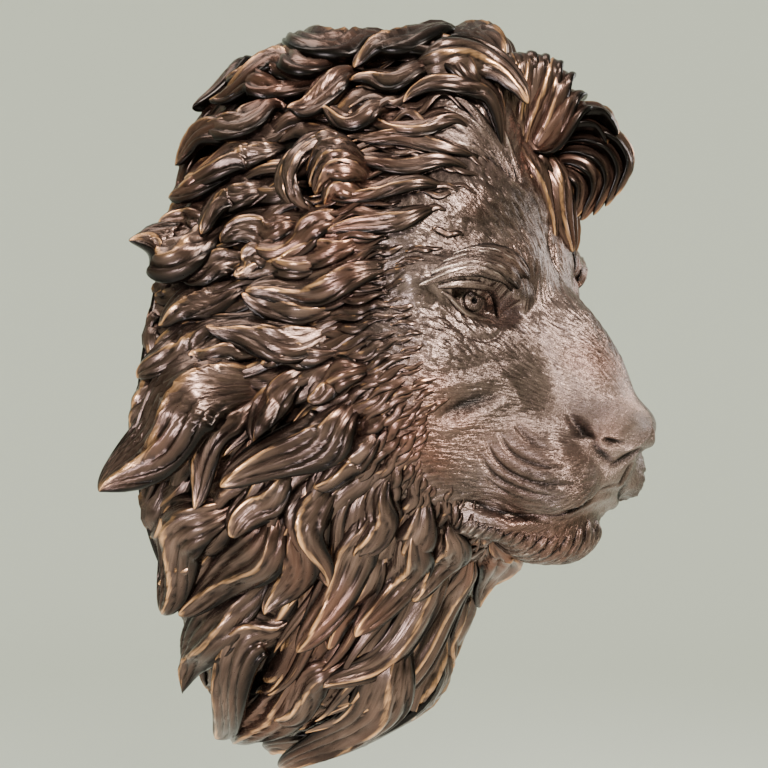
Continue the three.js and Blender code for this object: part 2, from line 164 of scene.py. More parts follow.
# Locks that lie on the mane: root, middle and tip as (clock, depth), then width and tip lift. The clock
# is 0 at the crown and grows towards the lion's right cheek, and the depth is y.
SIDE_LOCKS = [
    # Over the forehead, swept up and back from the brow.
    ((8, -262), (9, -238), (17, -198), 20, 8),
    ((8, -250), (9, -210), (9, -140), 30, 10),
    ((11, -218), (13, -185), (16, -148), 24, 8),
    ((11, -150), (18, -130), (24, -110), 30, 14),
    ((9, -118), (13, -95), (14, -55), 36, 14),
    ((12, -250), (18, -212), (21, -168), 16, 5),
    ((15, -250), (21, -208), (24, -160), 16, 5),
    ((19, -248), (26, -208), (29, -162), 17, 5),
    ((26, -240), (33, -205), (38, -158), 16, 5),
    ((32, -240), (40, -205), (45, -158), 16, 5),
    ((17, -190), (20, -165), (22, -132), 22, 10),
    ((16, -97), (18, -65), (20, -30), 30, 14),
    ((21, -92), (24, -65), (27, -22), 30, 14),
    ((28, -102), (32, -70), (35, -22), 30, 14),
    ((43, -132), (44, -100), (49, -66), 28, 12),
    ((40, -172), (46, -140), (50, -98), 26, 10),
    ((50, -162), (52, -125), (57, -82), 26, 10),
    # Behind the ear and above it, blown back from the crown.
    ((6, -40), (8, -10), (20, -4), 34, 12),
    ((16, -120), (14, -70), (20, -25), 34, 14),
    ((24, -95), (24, -40), (32, -8), 32, 14),
    ((30, -92), (33, -55), (39, -8), 30, 14),
    ((36, -100), (38, -68), (48, -52), 30, 18),
    ((46, -60), (42, -30), (46, -6), 28, 14),
    ((45, -112), (52, -96), (58, -84), 26, 14),
    ((42, -65), (51, -25), (53, -5), 44, 42),
    # Beside the cheek, flowing back to the wall.
    ((49, -92), (55, -62), (59, -32), 28, 16),
    ((58, -90), (66, -52), (76, -22), 30, 16),
    ((70, -88), (80, -42), (92, -8), 32, 14),
    ((44, -190), (50, -150), (52, -115), 24, 12),
    ((50, -212), (56, -155), (63, -95), 28, 14),
    ((62, -172), (66, -130), (64, -92), 24, 14),
    ((72, -166), (77, -122), (76, -68), 30, 18),
    ((80, -132), (80, -82), (85, -56), 26, 18),
    ((79, -175), (81, -135), (86, -112), 24, 12),
    ((86, -150), (97, -120), (109, -112), 26, 14),
    ((84, -200), (90, -175), (98, -150), 24, 10),
    ((97, -190), (110, -155), (119, -88), 36, 20),
    ((90, -118), (99, -55), (118, -5), 62, 46),
    ((94, -112), (104, -82), (124, -62), 30, 18),
    ((84, -50), (94, -20), (106, -3), 34, 12),
    # The beard's side, falling below the jaw.
    ((108, -205), (118, -180), (124, -150), 26, 10),
    ((116, -140), (124, -110), (132, -84), 28, 12),
    ((124, -92), (133, -35), (149, -5), 40, 20),
    ((126, -118), (139, -92), (149, -20), 34, 18),
    ((128, -140), (141, -125), (151, -92), 30, 16),
    ((122, -165), (133, -140), (150, -140), 30, 16),
    ((126, -205), (140, -182), (148, -165), 28, 10),
    ((135, -192), (149, -158), (159, -108), 32, 18),
    ((149, -184), (156, -152), (161, -128), 26, 14),
    ((142, -216), (158, -190), (162, -146), 32, 16),
    ((137, -226), (152, -205), (160, -182), 26, 10),
    ((146, -105), (152, -38), (163, -4), 40, 26),
    ((154, -105), (157, -65), (171, -6), 38, 28),
    ((162, -112), (167, -62), (173, -10), 34, 24),
    ((165, -140), (165, -100), (168, -68), 28, 12),
    ((150, -235), (164, -215), (166, -180), 28, 12),
    ((172, -175), (173, -135), (177, -40), 38, 30),
    ((134, -60), (140, -30), (142, -6), 30, 14),
]

# Locks on or near the centre-line, which has no mirrored partner.
MIDDLE_LOCKS = [
    ((4, -165), (6, -110), (6, -58), 50, 6),
    ((9, -96), (9, -60), (14, -20), 34, 5),
    ((-10, -120), (-8, -60), (-3, -8), 44, 12),
    ((2, -215), (6, -180), (14, -150), 40, 14),
    ((13, -190), (8, -226), (3, -258), 32, 12),
    ((-13, -185), (-10, -222), (-5, -256), 30, 10),
    ((177, -224), (179, -184), (172, -122), 24, 10),
    ((172, -214), (170, -176), (165, -118), 24, 12),
    ((184, -178), (184, -148), (183, -112), 36, 18),
    ((-170, -190), (-168, -150), (-172, -80), 36, 20),
    ((180, -120), (180, -70), (180, -14), 44, 22),
    ((172, -246), (186, -232), (190, -178), 36, 20),
    ((190, -190), (190, -165), (188, -150), 26, 14),
]

# The fan over the forehead: ribs from one root to places along a crest, all of one width and roll.
FAN_ROOT = (12, -244, 138)
FAN_CREST = ((-10, -246, 238), (8, -264, 243), (26, -286, 230), (37, -303, 196))
FAN_RIBS = 8
FAN_WIDTH = 30
FAN_ROLL = -48
# Tufts that stand free of the head: path, width and roll. The crest comes first, then the curls beside
# the fan, then the hair that falls down the parting.
FORELOCK = [
    (((0, -150, 232), (-2, -200, 246), (-4, -238, 238), (-8, -250, 205)), 54, 0),
    (((16, -250, 158), (32, -288, 184), (44, -308, 186), (50, -320, 170)), 30, -20),
    (((14, -250, 152), (30, -284, 176), (42, -302, 176), (46, -312, 162)), 28, -20),
    (((20, -250, 160), (42, -286, 176), (58, -310, 170), (66, -320, 148), (60, -312, 122)), 28, 0),
    (((18, -250, 154), (40, -284, 168), (54, -306, 162), (61, -314, 140), (55, -306, 114)), 28, 0),
    (((18, -250, 148), (38, -282, 160), (51, -302, 152), (56, -307, 132), (50, -298, 107)), 28, 6),
    (((16, -252, 144), (35, -280, 152), (47, -297, 143), (50, -299, 124), (44, -290, 103)), 28, 10),
    (((14, -254, 142), (31, -278, 144), (41, -291, 134), (42, -290, 116), (37, -282, 101)), 26, 14),
    (((12, -254, 142), (26, -276, 138), (34, -285, 126), (33, -281, 108)), 24, 20),
    (((6, -250, 182), (2, -266, 150), (6, -274, 118), (13, -284, 86)), 34, 45),
    (((14, -250, 174), (16, -274, 144), (22, -284, 112), (32, -290, 78)), 34, 40),
    (((28, -240, 160), (36, -266, 136), (46, -278, 108), (54, -278, 76)), 34, 20),
    (((4, -252, 170), (0, -264, 150), (-2, -268, 128), (2, -276, 104)), 20, 40),
]

# The ear: the middle of its rim's plane, the way it faces and its radius, on the lion's left.
EAR_CENTRE = (104, -149, 129)
EAR_FACING = (0.70, -0.70, 0.12)
EAR_RADIUS = 32.0
# Tufts that fill the ear from its front edge: path, width and roll.
EAR_TUFTS = [
    (((92, -184, 138), (108, -174, 152), (116, -156, 150), (114, -140, 128)), 24, 0),
    (((90, -186, 128), (108, -178, 140), (119, -162, 140), (116, -146, 122)), 24, 0),
    (((94, -178, 150), (106, -164, 162), (112, -146, 158), (110, -134, 140)), 20, 0),
    (((92, -186, 118), (108, -178, 126), (117, -166, 126), (114, -154, 114)), 20, 0),
    (((98, -172, 156), (106, -156, 166), (108, -140, 162), (104, -126, 146)), 18, 0),
]
# Tufts along the ear's rim: first and last angle about its axis from the top towards the front, share of
# the radius, rise and width.
EAR_RIM = [
    (-150, -40, 1.02, 1, 15),
    (-110, 10, 1.08, 3, 16),
    (-60, 60, 1.04, 5, 16),
    (0, 100, 1.02, 4, 15),
    (-130, -30, 1.20, -9, 17),
    (-50, 50, 1.22, -8, 17),
    (20, 120, 1.16, -6, 16),
    (-165, -90, 0.96, -1, 12),
    (-80, 0, 0.92, 0, 11),
    (50, 130, 0.92, 2, 12),
]

# The edge where the fur of the face turns into the mane, as (clock, depth).
FACE_EDGE = ((-60, -170), (-34, -182), (0, -225), (34, -182), (51, -172), (72, -190), (97, -212),
             (124, -215), (145, -228), (180, -236), (215, -228))

# A lock's height as a share of its width, and its lean over its neighbour in degrees.
LOCK_FULLNESS = 0.30
FORELOCK_FULLNESS = 0.28
LOCK_ROLL = 16.0
# How much wider the fine locks and the free tufts are than their rows say, because they thin out.
LOCK_WIDENING = 1.5
TUFT_WIDENING = 1.15

# A lock's crest: how far it wanders from the middle, its width and that of the bright line along it, as
# shares of the lock's half width.
CREST_SWAY = 0.36
CREST_WIDTH = 0.24
LINE_WIDTH = 0.13
# The valleys between strands and between thin strands, as shares of the lock's height.
VALLEY_DEPTH = 0.32
THIN_VALLEY_DEPTH = 0.05
THIN_STRANDS = 3

# One step of the UV map: millimetres along a surface, or degrees round the nose or the axis.
UV_STEP = 60.0
UV_TURN = 36.0

# Millimetres over the mane's skin to one degree of the clock, for laying paths out flat.
CLOCK_MM = 2.6

# Points of each kind of surface: rings along it and points round it, or spokes and rings.
FACE_GRID = (504, 190)
EYE_GRID = (60, 64)
BROW_GRID = (30, 20)
FOREHEAD_GRID = (26, 14)
BEARD_GRID = (18, 14)
MANE_BED_GRID = (160, 50)
UNDER_LOCK_GRID = (15, 12)
BORDER_TUFT_GRID = (15, 10)
OVER_STRAND_GRID = (28, 14)
FOREHEAD_STRAND_GRID = (18, 10)
FAN_SIDES = 26
EAR_CUP_GRID = (80, 34)
EAR_RIM_GRID = (26, 16)
EAR_TUFT_GRID = (26, 24)


def smooth_least(a, b, blend):
    """The lesser of two levels, rounded off where they are within `blend` of each other."""
    near = np.maximum(blend - np.abs(a - b), 0.0) / blend
    return np.minimum(a, b) - near * near * blend / 4


def unit(v):
    """Vectors scaled to length one."""
    return v / np.maximum(np.linalg.norm(v, axis=-1, keepdims=True), 1e-9)


def ball_turn(tilt):
    """A ball's own axes as columns: yaw about Z, then pitch about X, then roll about Y, in degrees."""
    pitch, yaw, roll = (math.radians(a) for a in tilt)
    rx = np.array([[1, 0, 0], [0, math.cos(pitch), -math.sin(pitch)], [0, math.sin(pitch), math.cos(pitch)]])
    rz = np.array([[math.cos(yaw), -math.sin(yaw), 0], [math.sin(yaw), math.cos(yaw), 0], [0, 0, 1]])
    ry = np.array([[math.cos(roll), 0, math.sin(roll)], [0, 1, 0], [-math.sin(roll), 0, math.cos(roll)]])
    return (rz @ rx @ ry).astype(np.float32)


def ball_level(points, centre, radii, tilt):
    """How far points are from an ellipsoid: its level times level less one, over the level's slope."""
    size = np.array(radii, np.float32)
    place = ((points - np.array(centre, np.float32)) @ ball_turn(tilt)) / size
    level = np.linalg.norm(place, axis=-1)
    return level * (level - 1) / np.maximum(np.linalg.norm(place / size, axis=-1), 1e-6)


def cord_level(points, spots):
    """How far points are from a round cord whose radius changes evenly between its spots."""
    least = None
    for a, b in zip(spots[:-1], spots[1:]):
        start = np.array(a[:3], np.float32)
        run = np.array(b[:3], np.float32) - start
        share = np.clip(((points - start) @ run) / (run @ run), 0, 1)
        radius = a[3] + (b[3] - a[3]) * share
        gap = np.linalg.norm(points - start - share[..., None] * run, axis=-1) - radius
        least = gap if least is None else np.minimum(least, gap)
    return least


def folded(points):
    """Points brought over to the lion's left, because the head's forms are the same on both sides."""
    half = points.copy()
    half[..., 0] = np.abs(half[..., 0])
    return half


def form_level(half, kind, data):
    """How far folded points are from one form."""
    return ball_level(half, *data) if kind.startswith("ball") else cord_level(half, data)


def head_level(points):
    """Below zero inside the head: each form is blended with all before it, or cut from them."""
    half = folded(points)
    level = None
    for kind, _, data, blend in FORMS:
        own = form_level(half, kind, data)
        if level is None:
            level = own
        elif kind.endswith("cut"):
            level = -smooth_least(-level, own, blend)
        else:
            level = smooth_least(level, own, blend)
    return level


# Each step of a walk to the skin takes this share of the level, and turns back by this much at most.
WALK_SHARE = 0.8
WALK_BACK = 2.0
WALK_STEPS = 90


def skin_reach(starts, ways, reach, steps):
    """How far the head's skin is from each start along its way, walking inwards from `reach`."""
    reach = np.broadcast_to(np.asarray(reach, np.float32), starts.shape[:-1]).copy()
    for _ in range(steps):
        level = head_level(starts + ways * reach[..., None])
        reach -= np.maximum(level, -WALK_BACK) * WALK_SHARE
    return reach


def clock_way(clock):
    """The way from the axis at a clock angle in degrees: 0 is up and 90 is the lion's right."""
    turn = np.radians(clock)
    return np.stack([-np.sin(turn), np.zeros_like(turn), np.cos(turn)], -1).astype(np.float32)


# The mane's skin, walked once on a grid of clock and depth and read between its points afterwards.
CLOCK_STEP = 2.0
DEPTH_STEP = 5.0
MANE_CLOCKS = np.arange(0, 360, CLOCK_STEP)
MANE_DEPTHS = np.arange(0, -271, -DEPTH_STEP)


def walk_mane():
    """The mane's reach from the axis for each clock and depth of the grid."""
    clock, depth = np.meshgrid(MANE_CLOCKS, MANE_DEPTHS, indexing="ij")
    starts = np.stack([np.zeros_like(depth), depth, np.full_like(depth, AXIS_Z)], -1).astype(np.float32)
    return skin_reach(starts, clock_way(clock), REACH, WALK_STEPS)


MANE_REACH = walk_mane()


def mane_skin(clock, depth):
    """The mane's skin at clock and depth, read between the four nearest points of the grid."""
    c = (np.asarray(clock, float) % 360) / CLOCK_STEP
    d = np.clip(-np.asarray(depth, float) / DEPTH_STEP, 0, len(MANE_DEPTHS) - 1.001)
    c0, d0 = np.floor(c).astype(int), np.floor(d).astype(int)
    fc, fd = c - c0, d - d0
    c0, c1 = c0 % len(MANE_CLOCKS), (c0 + 1) % len(MANE_CLOCKS)
    near = MANE_REACH[c0, d0] * (1 - fc) + MANE_REACH[c1, d0] * fc
    far = MANE_REACH[c0, d0 + 1] * (1 - fc) + MANE_REACH[c1, d0 + 1] * fc
    reach = near * (1 - fd) + far * fd
    point = clock_way(clock) * reach[..., None]
    point[..., 1] = depth
    point[..., 2] += AXIS_Z
    return point


def mane_facing(clock, depth):
    """The way that the mane's skin faces: across its slope with the clock and its slope with the depth."""
    depth = np.clip(depth, -258, -6)
    across = mane_skin(clock + 3, depth) - mane_skin(clock - 3, depth)
    along = mane_skin(clock, depth - 6) - mane_skin(clock, depth + 6)
    return unit(np.cross(across, along))


def curve_through(points, shares):
    """A smooth curve through points: each stretch is the cubic with the slopes of its neighbours' chords."""
    points = np.asarray(points, float)
    last = len(points) - 1
    where = np.clip(np.asarray(shares) * last, 0, last - 1e-6)
    i = where.astype(int)
    t = (where - i)[:, None]
    p0, p1 = points[np.maximum(i - 1, 0)], points[i]
    p2, p3 = points[np.minimum(i + 1, last)], points[np.minimum(i + 2, last)]
    v0, v1 = (p2 - p0) / 2, (p3 - p1) / 2
    return ((2 * p1 - 2 * p2 + v0 + v1) * t ** 3 + (-3 * p1 + 3 * p2 - 2 * v0 - v1) * t ** 2 + v0 * t + p1)


def scatter(*keys):
    """A repeatable value from 0 to 1 for whole numbers: the fraction of a large sine."""
    total = sum(np.asarray(k, float) * w for k, w in zip(keys, (12.9898, 78.233, 37.719, 94.673)))
    return np.modf(np.abs(np.sin(total) * 43758.5453))[0]


def smooth_step(x):
    """0 below 0 and 1 above 1, with an S between."""
    x = np.clip(x, 0, 1)
    return x * x * (3 - 2 * x)


def lock_breadth(share):
    """A lock's half width as a share of its widest: a narrow root, then a long taper to the tip."""
    return (0.22 + 0.78 * smooth_step(share / 0.48)) * np.maximum(1 - share ** 2.8, 0) ** 0.7


def lock_shares(rows):
    """Shares of a lock's length, closer together towards the tip."""
    return 1 - (1 - np.linspace(0, 0.995, rows)) ** 1.6


def lock_part(spots, ups, width, roll, seed, sides, strands, fullness=LOCK_FULLNESS):
    """A lock as a profile carried along a path. Over the profile's top, from edge to edge, the height is a
    low arch with one crest that wanders from side to side, less a narrow valley between each two strands. The
    wear is a thin line along the crest and the tip, brightened further as painted highlight, and painted
    shade darkens the foot of each side, the underside, the valleys and the root."""
    share = lock_shares(len(spots))
    along = unit(np.gradient(spots, axis=0))
    up = unit(ups - along * (ups * along).sum(-1, keepdims=True))
    side = np.cross(up, along)
    lean = math.radians(roll)
    up, side = up * math.cos(lean) - side * math.sin(lean), side * math.cos(lean) + up * math.sin(lean)
    breadth = (lock_breadth(share) * width / 2)[:, None]
    over = sides * 3 // 4
    under = np.linspace(np.pi, 2 * np.pi, sides - over + 2)[1:-1]
    turn = np.concatenate([np.linspace(0, np.pi, over), under])
    x, z = np.cos(turn)[None], np.sin(turn)[None]
    top = np.maximum(z, 0)
    s = share[:, None]
    crest_at = CREST_SWAY * np.sin(2 * np.pi * (0.75 * s + seed))
    crest = np.exp(-((x - crest_at) / CREST_WIDTH) ** 2)
    place = (0.5 * x + 0.14 * np.sin(2 * np.pi * (1.1 * s + seed * 3)) + seed) * strands
    beside = np.abs(2 * (place - np.floor(place)) - 1)
    valley = beside ** 2.6
    thin = place * THIN_STRANDS + 0.25 * np.sin(s * 11 + seed * 9)
    thin_valley = np.abs(2 * (thin - np.floor(thin)) - 1) ** 3
    fade = np.clip(top * 2.0, 0, 1) * smooth_step(s * 6) * smooth_step((1 - s) * 6)
    pressed = (VALLEY_DEPTH * valley + THIN_VALLEY_DEPTH * thin_valley) * fade
    height = top ** 0.8 * (0.72 + 0.42 * crest + 0.14 * x) - pressed + 0.7 * np.minimum(z, 0)
    tall = breadth * 2 * fullness
    grid = (spots[:, None] + side[:, None] * (breadth * x)[..., None]
            + up[:, None] * (tall * height)[..., None])
    line = np.exp(-((x - crest_at) / LINE_WIDTH) ** 2)
    # Wear along the crest and the tip, pushed brighter as painted highlight.
    wear_and_highlight = line * top * (0.45 + 0.6 * s) + 0.8 * smooth_step((s - 0.88) / 0.12) * top ** 2
    wear_and_highlight = wear_and_highlight + 0.45 * (1 - beside) ** 2 * top ** 2 * s - 0.3 * thin_valley * fade
    # Painted shade: darker on the flanks and underside, in the valleys between strands and at the root.
    painted_shade = 1.12 - top ** 1.3 * 1.05 + 0.9 * beside ** 5 * fade + 0.5 * (1 - smooth_step(s / 0.25))
    length = np.concatenate([[0], np.cumsum(np.linalg.norm(np.diff(spots, axis=0), axis=-1))])
    across = np.broadcast_to(x * width / (2 * UV_STEP) + seed * 5, grid.shape[:2])
    return ring_part(grid, spots[0], spots[-1], np.clip(wear_and_highlight, 0, 1), np.clip(painted_shade, 0, 1),
                     across, length / UV_STEP + seed * 3)


def ring_part(grid, first, last, wear_and_highlight, painted_shade, across, lengthwise):
    """A closed surface from rings of points, with a fan about one point at each end. The UV is `across`
    round each ring and `lengthwise` along the rings."""
    rows, sides = grid.shape[:2]
    index = np.arange(rows * sides).reshape(rows, sides)
    nxt = np.roll(index, -1, axis=1)
    quads = np.stack([index[:-1], nxt[:-1], nxt[1:], index[1:]], -1).reshape(-1, 4)
    lengthwise = np.broadcast_to(np.reshape(lengthwise, (rows, -1)), (rows, sides))
    place = np.stack([across, lengthwise], -1)
    beyond = np.roll(place, -1, axis=1)
    jump = np.abs(beyond[:, -1, 0] - place[:, -1, 0]) > 0.5
    beyond[:, -1, 0] = np.where(jump, place[:, -1, 0] + (place[:, 1, 0] - place[:, 0, 0]), beyond[:, -1, 0])
    quad_uv = np.stack([place[:-1], beyond[:-1], beyond[1:], place[1:]], -2).reshape(-1, 2)
    a, b = rows * sides, rows * sides + 1
    start = np.stack([np.full(sides, a), nxt[0], index[0]], -1)
    end = np.stack([np.full(sides, b), index[-1], nxt[-1]], -1)
    start_uv = np.stack([place[0], beyond[0], place[0]], -2).reshape(-1, 2)
    end_uv = np.stack([place[-1], place[-1], beyond[-1]], -2).reshape(-1, 2)
    return {
        "co": np.concatenate([grid.reshape(-1, 3), [first], [last]]),
        "quads": quads,
        "tris": np.concatenate([start, end]),
        "uv": (quad_uv, np.concatenate([start_uv, end_uv])),
        # At the caps, wear and painted highlight are nothing at the start and the last ring's mean at the
        # end. Painted shade is full at the start and the last ring's mean at the end.
        "wear_and_highlight": np.concatenate([wear_and_highlight.ravel(), [0], [wear_and_highlight[-1].mean()]]),
        "painted_shade": np.concatenate([painted_shade.ravel(), [1], [painted_shade[-1].mean()]]),
    }


def make_piece(name, parts, material):
    """One mesh object from several parts, in metres, with its UV map and its two attributes: wear that also
    carries painted highlight, and painted shade.
    """
    offsets = np.cumsum([0] + [len(p["co"]) for p in parts])
    co = np.concatenate([p["co"] for p in parts]) * MM
    co[:, 1] = np.minimum(co[:, 1], 0)
    quads = np.concatenate([p["quads"] + o for p, o in zip(parts, offsets)])
    tris = np.concatenate([p["tris"] + o for p, o in zip(parts, offsets)])
    mesh = bpy.data.meshes.new(name)
    mesh.vertices.add(len(co))
    mesh.vertices.foreach_set("co", co.astype(np.float32).ravel())
    corners = np.concatenate([quads.ravel(), tris.ravel()])
    mesh.loops.add(len(corners))
    mesh.loops.foreach_set("vertex_index", corners.astype(np.int32))
    starts = np.concatenate([np.arange(len(quads)) * 4, len(quads) * 4 + np.arange(len(tris)) * 3])
    mesh.polygons.add(len(starts))
    mesh.polygons.foreach_set("loop_start", starts.astype(np.int32))
    uv = np.concatenate([p["uv"][0] for p in parts] + [p["uv"][1] for p in parts])
    mesh.uv_layers.new(name="UVMap").data.foreach_set("uv", uv.astype(np.float32).ravel())
    # Two point attributes: wear that also carries painted highlight, and painted shade.
    for key in ("wear_and_highlight", "painted_shade"):
        values = np.concatenate([p[key] for p in parts]).astype(np.float32)
        mesh.attributes.new(key, "FLOAT", "POINT").data.foreach_set("value", values)
    mesh.update(calc_edges=True)
    mesh.validate()
    mesh.shade_smooth()
    mesh.materials.append(material)
    piece = bpy.data.objects.new(name, mesh)
    bpy.context.scene.collection.objects.link(piece)
    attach(piece, BODY)
    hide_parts(NODE)


def lock_on_mane(path, side, width, tip_lift, sway, seed, sides, rows, strands, stand):
    """A lock over the mane's skin. Its path, in clock and depth, sways from side to side by `sway`
    millimetres, its root starts below the skin, all of it stands off by `stand`, and its tip by
    `tip_lift` more."""
    share = lock_shares(rows)
    place = curve_through(path, share)
    flat = place * (CLOCK_MM, 1)
    way = unit(np.gradient(flat, axis=0))
    swing = sway * np.sin(2 * np.pi * (1.25 * share + seed * 7)) * np.sin(np.pi * share) ** 0.7
    flat = flat + way[:, ::-1] * (-1, 1) * swing[:, None]
    clock, depth = side * flat[:, 0] / CLOCK_MM, np.minimum(flat[:, 1], -0.5)
    up = mane_facing(clock, depth)
    sink = 0.22 * width * (1 - smooth_step(share / 0.3))
    wave = 0.05 * width * np.sin(2 * np.pi * (1.7 * share + seed * 5))
    lift = stand + 0.05 * width + tip_lift * share ** 2.5 + wave - sink
    spots = mane_skin(clock, depth) + up * lift[:, None]
    return lock_part(spots, up, width, LOCK_ROLL * side, seed, sides, strands)


def mane_lock(row, side, change, seed, rows, sides, strands):
    """A named lock through its root, middle and tip. `change` moves it a little on the lion's left: so
    many degrees of the clock, and for each 3 mm of depth at the root, which dies away to the tip."""
    root, middle, tip, width, tip_lift = row
    path = np.array([root, middle, tip], float)
    path[:, 0] += change
    path[:, 1] = np.minimum(path[:, 1] + change * np.array([3, 1.5, 0]), 0)
    return lock_on_mane(path, side, width * LOCK_WIDENING, tip_lift, 0.11 * width, seed, sides, rows, strands,
                        3.0)


def free_tuft(row, side, seed, rows, sides, strands, centre=(0, -180, 60), fullness=LOCK_FULLNESS):
    """A tuft through points in space, whose back faces away from the middle of the head."""
    points, width, roll = row
    spots = curve_through(np.array(points) * (side, 1, 1), lock_shares(rows))
    ups = unit(spots - np.array(centre))
    return lock_part(spots, ups, width * TUFT_WIDENING, roll * side, seed, sides, strands, fullness)


def fan_ribs(rows, sides):
    """The fan: each rib bows towards the lion's right on its way from the root to its place on the crest."""
    parts = []
    for i, share in enumerate(np.linspace(0, 1, FAN_RIBS)):
        root, tip = np.array(FAN_ROOT, float), curve_through(FAN_CREST, [share])[0]
        chord = tip - root
        over = tip + unit(np.cross(chord, [1.0, 0, 0])) * 3 + np.array([8, 4, -14])
        points = [root + (0, -6 * share, 0), root + 0.4 * chord + (-8, -5, -2),
                  root + 0.8 * chord + (-6, -5, 3), over]
        parts.append(free_tuft((points, FAN_WIDTH, FAN_ROLL), 1, (i * 0.29) % 1, rows, sides, 3))
    return parts


def ear_axes(side):
    """The ear's centre, the way it faces, and the ways up and to the front across it."""
    axis = unit(np.array(EAR_FACING) * (side, 1, 1))
    up = unit(np.array([0, 0, 1.0]) - axis * axis[2])
    return np.array(EAR_CENTRE) * (side, 1, 1), axis, up, np.cross(axis, up) * side


def ear_cup(side, sides, rows):
    """The ear's bowl: a profile from the bowl's middle out over a rim and back down the outside, turned
    about the ear's axis, and narrower below, where the rim dies away into the cheek."""
    centre, axis, up, front = ear_axes(side)
    profile = curve_through([(0.10, -26), (0.55, -24), (0.80, -12), (0.90, -2), (1.00, 0), (1.08, -6),
                             (1.06, -26), (0.8, -48)], np.linspace(0, 1, rows))
    turn = np.linspace(0, 2 * np.pi, sides, endpoint=False) * side
    radius = EAR_RADIUS * (0.86 + 0.16 * np.cos(turn) + 0.05 * np.sin(2 * turn + 0.6))
    out = (front[None] * np.sin(turn)[:, None] + up[None] * np.cos(turn)[:, None]) * radius[:, None]
    strand = 0.8 * np.cos(turn * 13 + 2.0 * np.sin(turn * 3))[None]
    grid = centre + profile[:, None, :1] * out[None] + axis * (profile[:, 1:] + strand)[..., None]
    # Wear along the rim, also painted highlight.
    rim = np.exp(-((np.linspace(0, 1, rows) - 0.5) / 0.12) ** 2)[:, None] * (0.4 + 0.3 * strand)
    # Painted shade, full in the bowl and down the outside and lighter on the rim.
    painted_shade = np.broadcast_to(np.where(profile[:, 1:] < -8, 1.0, 0.4), grid.shape[:2])
    across = np.broadcast_to(np.abs(turn) * EAR_RADIUS / UV_STEP, grid.shape[:2])
    return ring_part(grid[:, ::-1], centre - axis * 24, centre - axis * 50, np.clip(rim[:, ::-1], 0, 1),
                     painted_shade, across, np.linspace(0, 1.5, rows))


def ear_rim(side, rows, sides):
    """Long tufts laid along the ear's rim: arcs about its axis, from one clock angle to another, at a
    share of its radius and a rise over its bowl."""
    centre, axis, up, front = ear_axes(side)
    parts = []
    for i, (first, last, share, rise, width) in enumerate(EAR_RIM):
        turn = np.radians(np.linspace(first, last, 7))[:, None]
        out = front * np.sin(turn) + up * np.cos(turn)
        ring = centre + out * EAR_RADIUS * share * (0.86 + 0.16 * np.cos(turn)) + axis * rise
        spots = curve_through(ring, lock_shares(rows))
        ups = unit(axis * 1.2 + unit(spots - centre))
        parts.append(lock_part(spots, ups, width, 0, (i * 0.37) % 1, sides, 3, 0.34))
    return parts


def edge_depth(clock):
    """Depth of the edge between face and mane at a clock angle."""
    from_crown = np.abs((np.asarray(clock, float) + 180) % 360 - 180)
    places = np.array([p for p in FACE_EDGE if 0 <= p[0] <= 180], float)
    return np.interp(from_crown, places[:, 0], places[:, 1])


def flow_samples():
    """Places and ways along the named locks, in millimetres over the unrolled mane."""
    share = np.linspace(0.1, 0.9, 7)
    places, ways = [], []
    for root, middle, tip, *_ in SIDE_LOCKS + MIDDLE_LOCKS:
        path = curve_through([root, middle, tip], share)
        path[:, 0] *= CLOCK_MM
        places.append(path)
        ways.append(unit(np.gradient(path, axis=0)))
    return np.concatenate(places), np.concatenate(ways)


# How far off, in millimetres, a named lock still leads the hair between.
FLOW_SPREAD = 22.0


def flow_path(clock, depth, length, steps, samples):
    """A path that starts at a place and follows the nearest named locks, the nearer the more."""
    places, ways = samples
    spot = np.array([clock * CLOCK_MM, depth], float)
    path = [spot]
    for _ in range(steps):
        gap = ((places - spot) ** 2).sum(-1)
        weight = np.exp(-gap / (2 * FLOW_SPREAD ** 2)) + 1e-9
        way = unit((ways * weight[:, None]).sum(0))
        spot = spot + way * length / steps
        path.append(spot)
    path = np.array(path)
    path[:, 0] /= CLOCK_MM
    return path


def under_locks(side, rows, sides):
    """Broad low locks between the named ones: started on a jittered grid and led by their flow."""
    samples = flow_samples()
    parts = []
    for i, clock in enumerate(np.arange(3, 180, 8.0)):
        for j, back in enumerate(np.arange(4, 230, 36.0)):
            a, b, c, d = (scatter(i, j, side, k) for k in (1, 2, 3, 4))
            start = edge_depth(clock) + back + 20 * a
            if start > -24:
                continue
            path = flow_path(clock + 6 * (c - 0.5), start, 74 + 44 * b, 8, samples)
            path[:, 1] = np.minimum(path[:, 1], -2)
            parts.append(lock_on_mane(path, side, 26 + 16 * d, 2 + 6 * a, 4.0, a + b, sides, rows, 3, -3.0))
    return parts


def border_tufts(side, rows, sides):
    """Wavy tufts that carry the fur of the face over into the mane: row by row they start further back and
    grow longer and broader."""
    samples = flow_samples()
    parts = []
    for j, back in enumerate((-48, -35, -22, -9, 6)):
        grown = j / 4
        for i, clock in enumerate(np.arange(0.7 * j, 180, 2.9 + 1.6 * grown)):
            a, b, c, d = (scatter(i, j, side, k) for k in (5, 6, 7, 8))
            held = 1 - 0.6 * math.exp(-((clock - 128) / 26) ** 2) + 0.7 * math.exp(-((clock - 26) / 16) ** 2)
            start = edge_depth(clock) + back * (held if back < 0 else 1) + 10 * (a - 0.5)
            if clock < 13 or start < -262 and scatter(i, j, 9) > 0.4:
                continue
            length = (26 + 44 * grown) * (0.8 + 0.5 * b)
            path = flow_path(clock + 3 * (c - 0.5), max(start, -262), length, 6, samples)
            path[:, 1] = np.clip(path[:, 1], -266, -2)
            width = (6 + 11 * grown) * (0.8 + 0.5 * d)
            parts.append(lock_on_mane(path, side, width, 0.5 + 4 * grown * a, 1.2 + 2.4 * grown, a + b, sides,
                                      rows, 2, 0.2))
    return parts


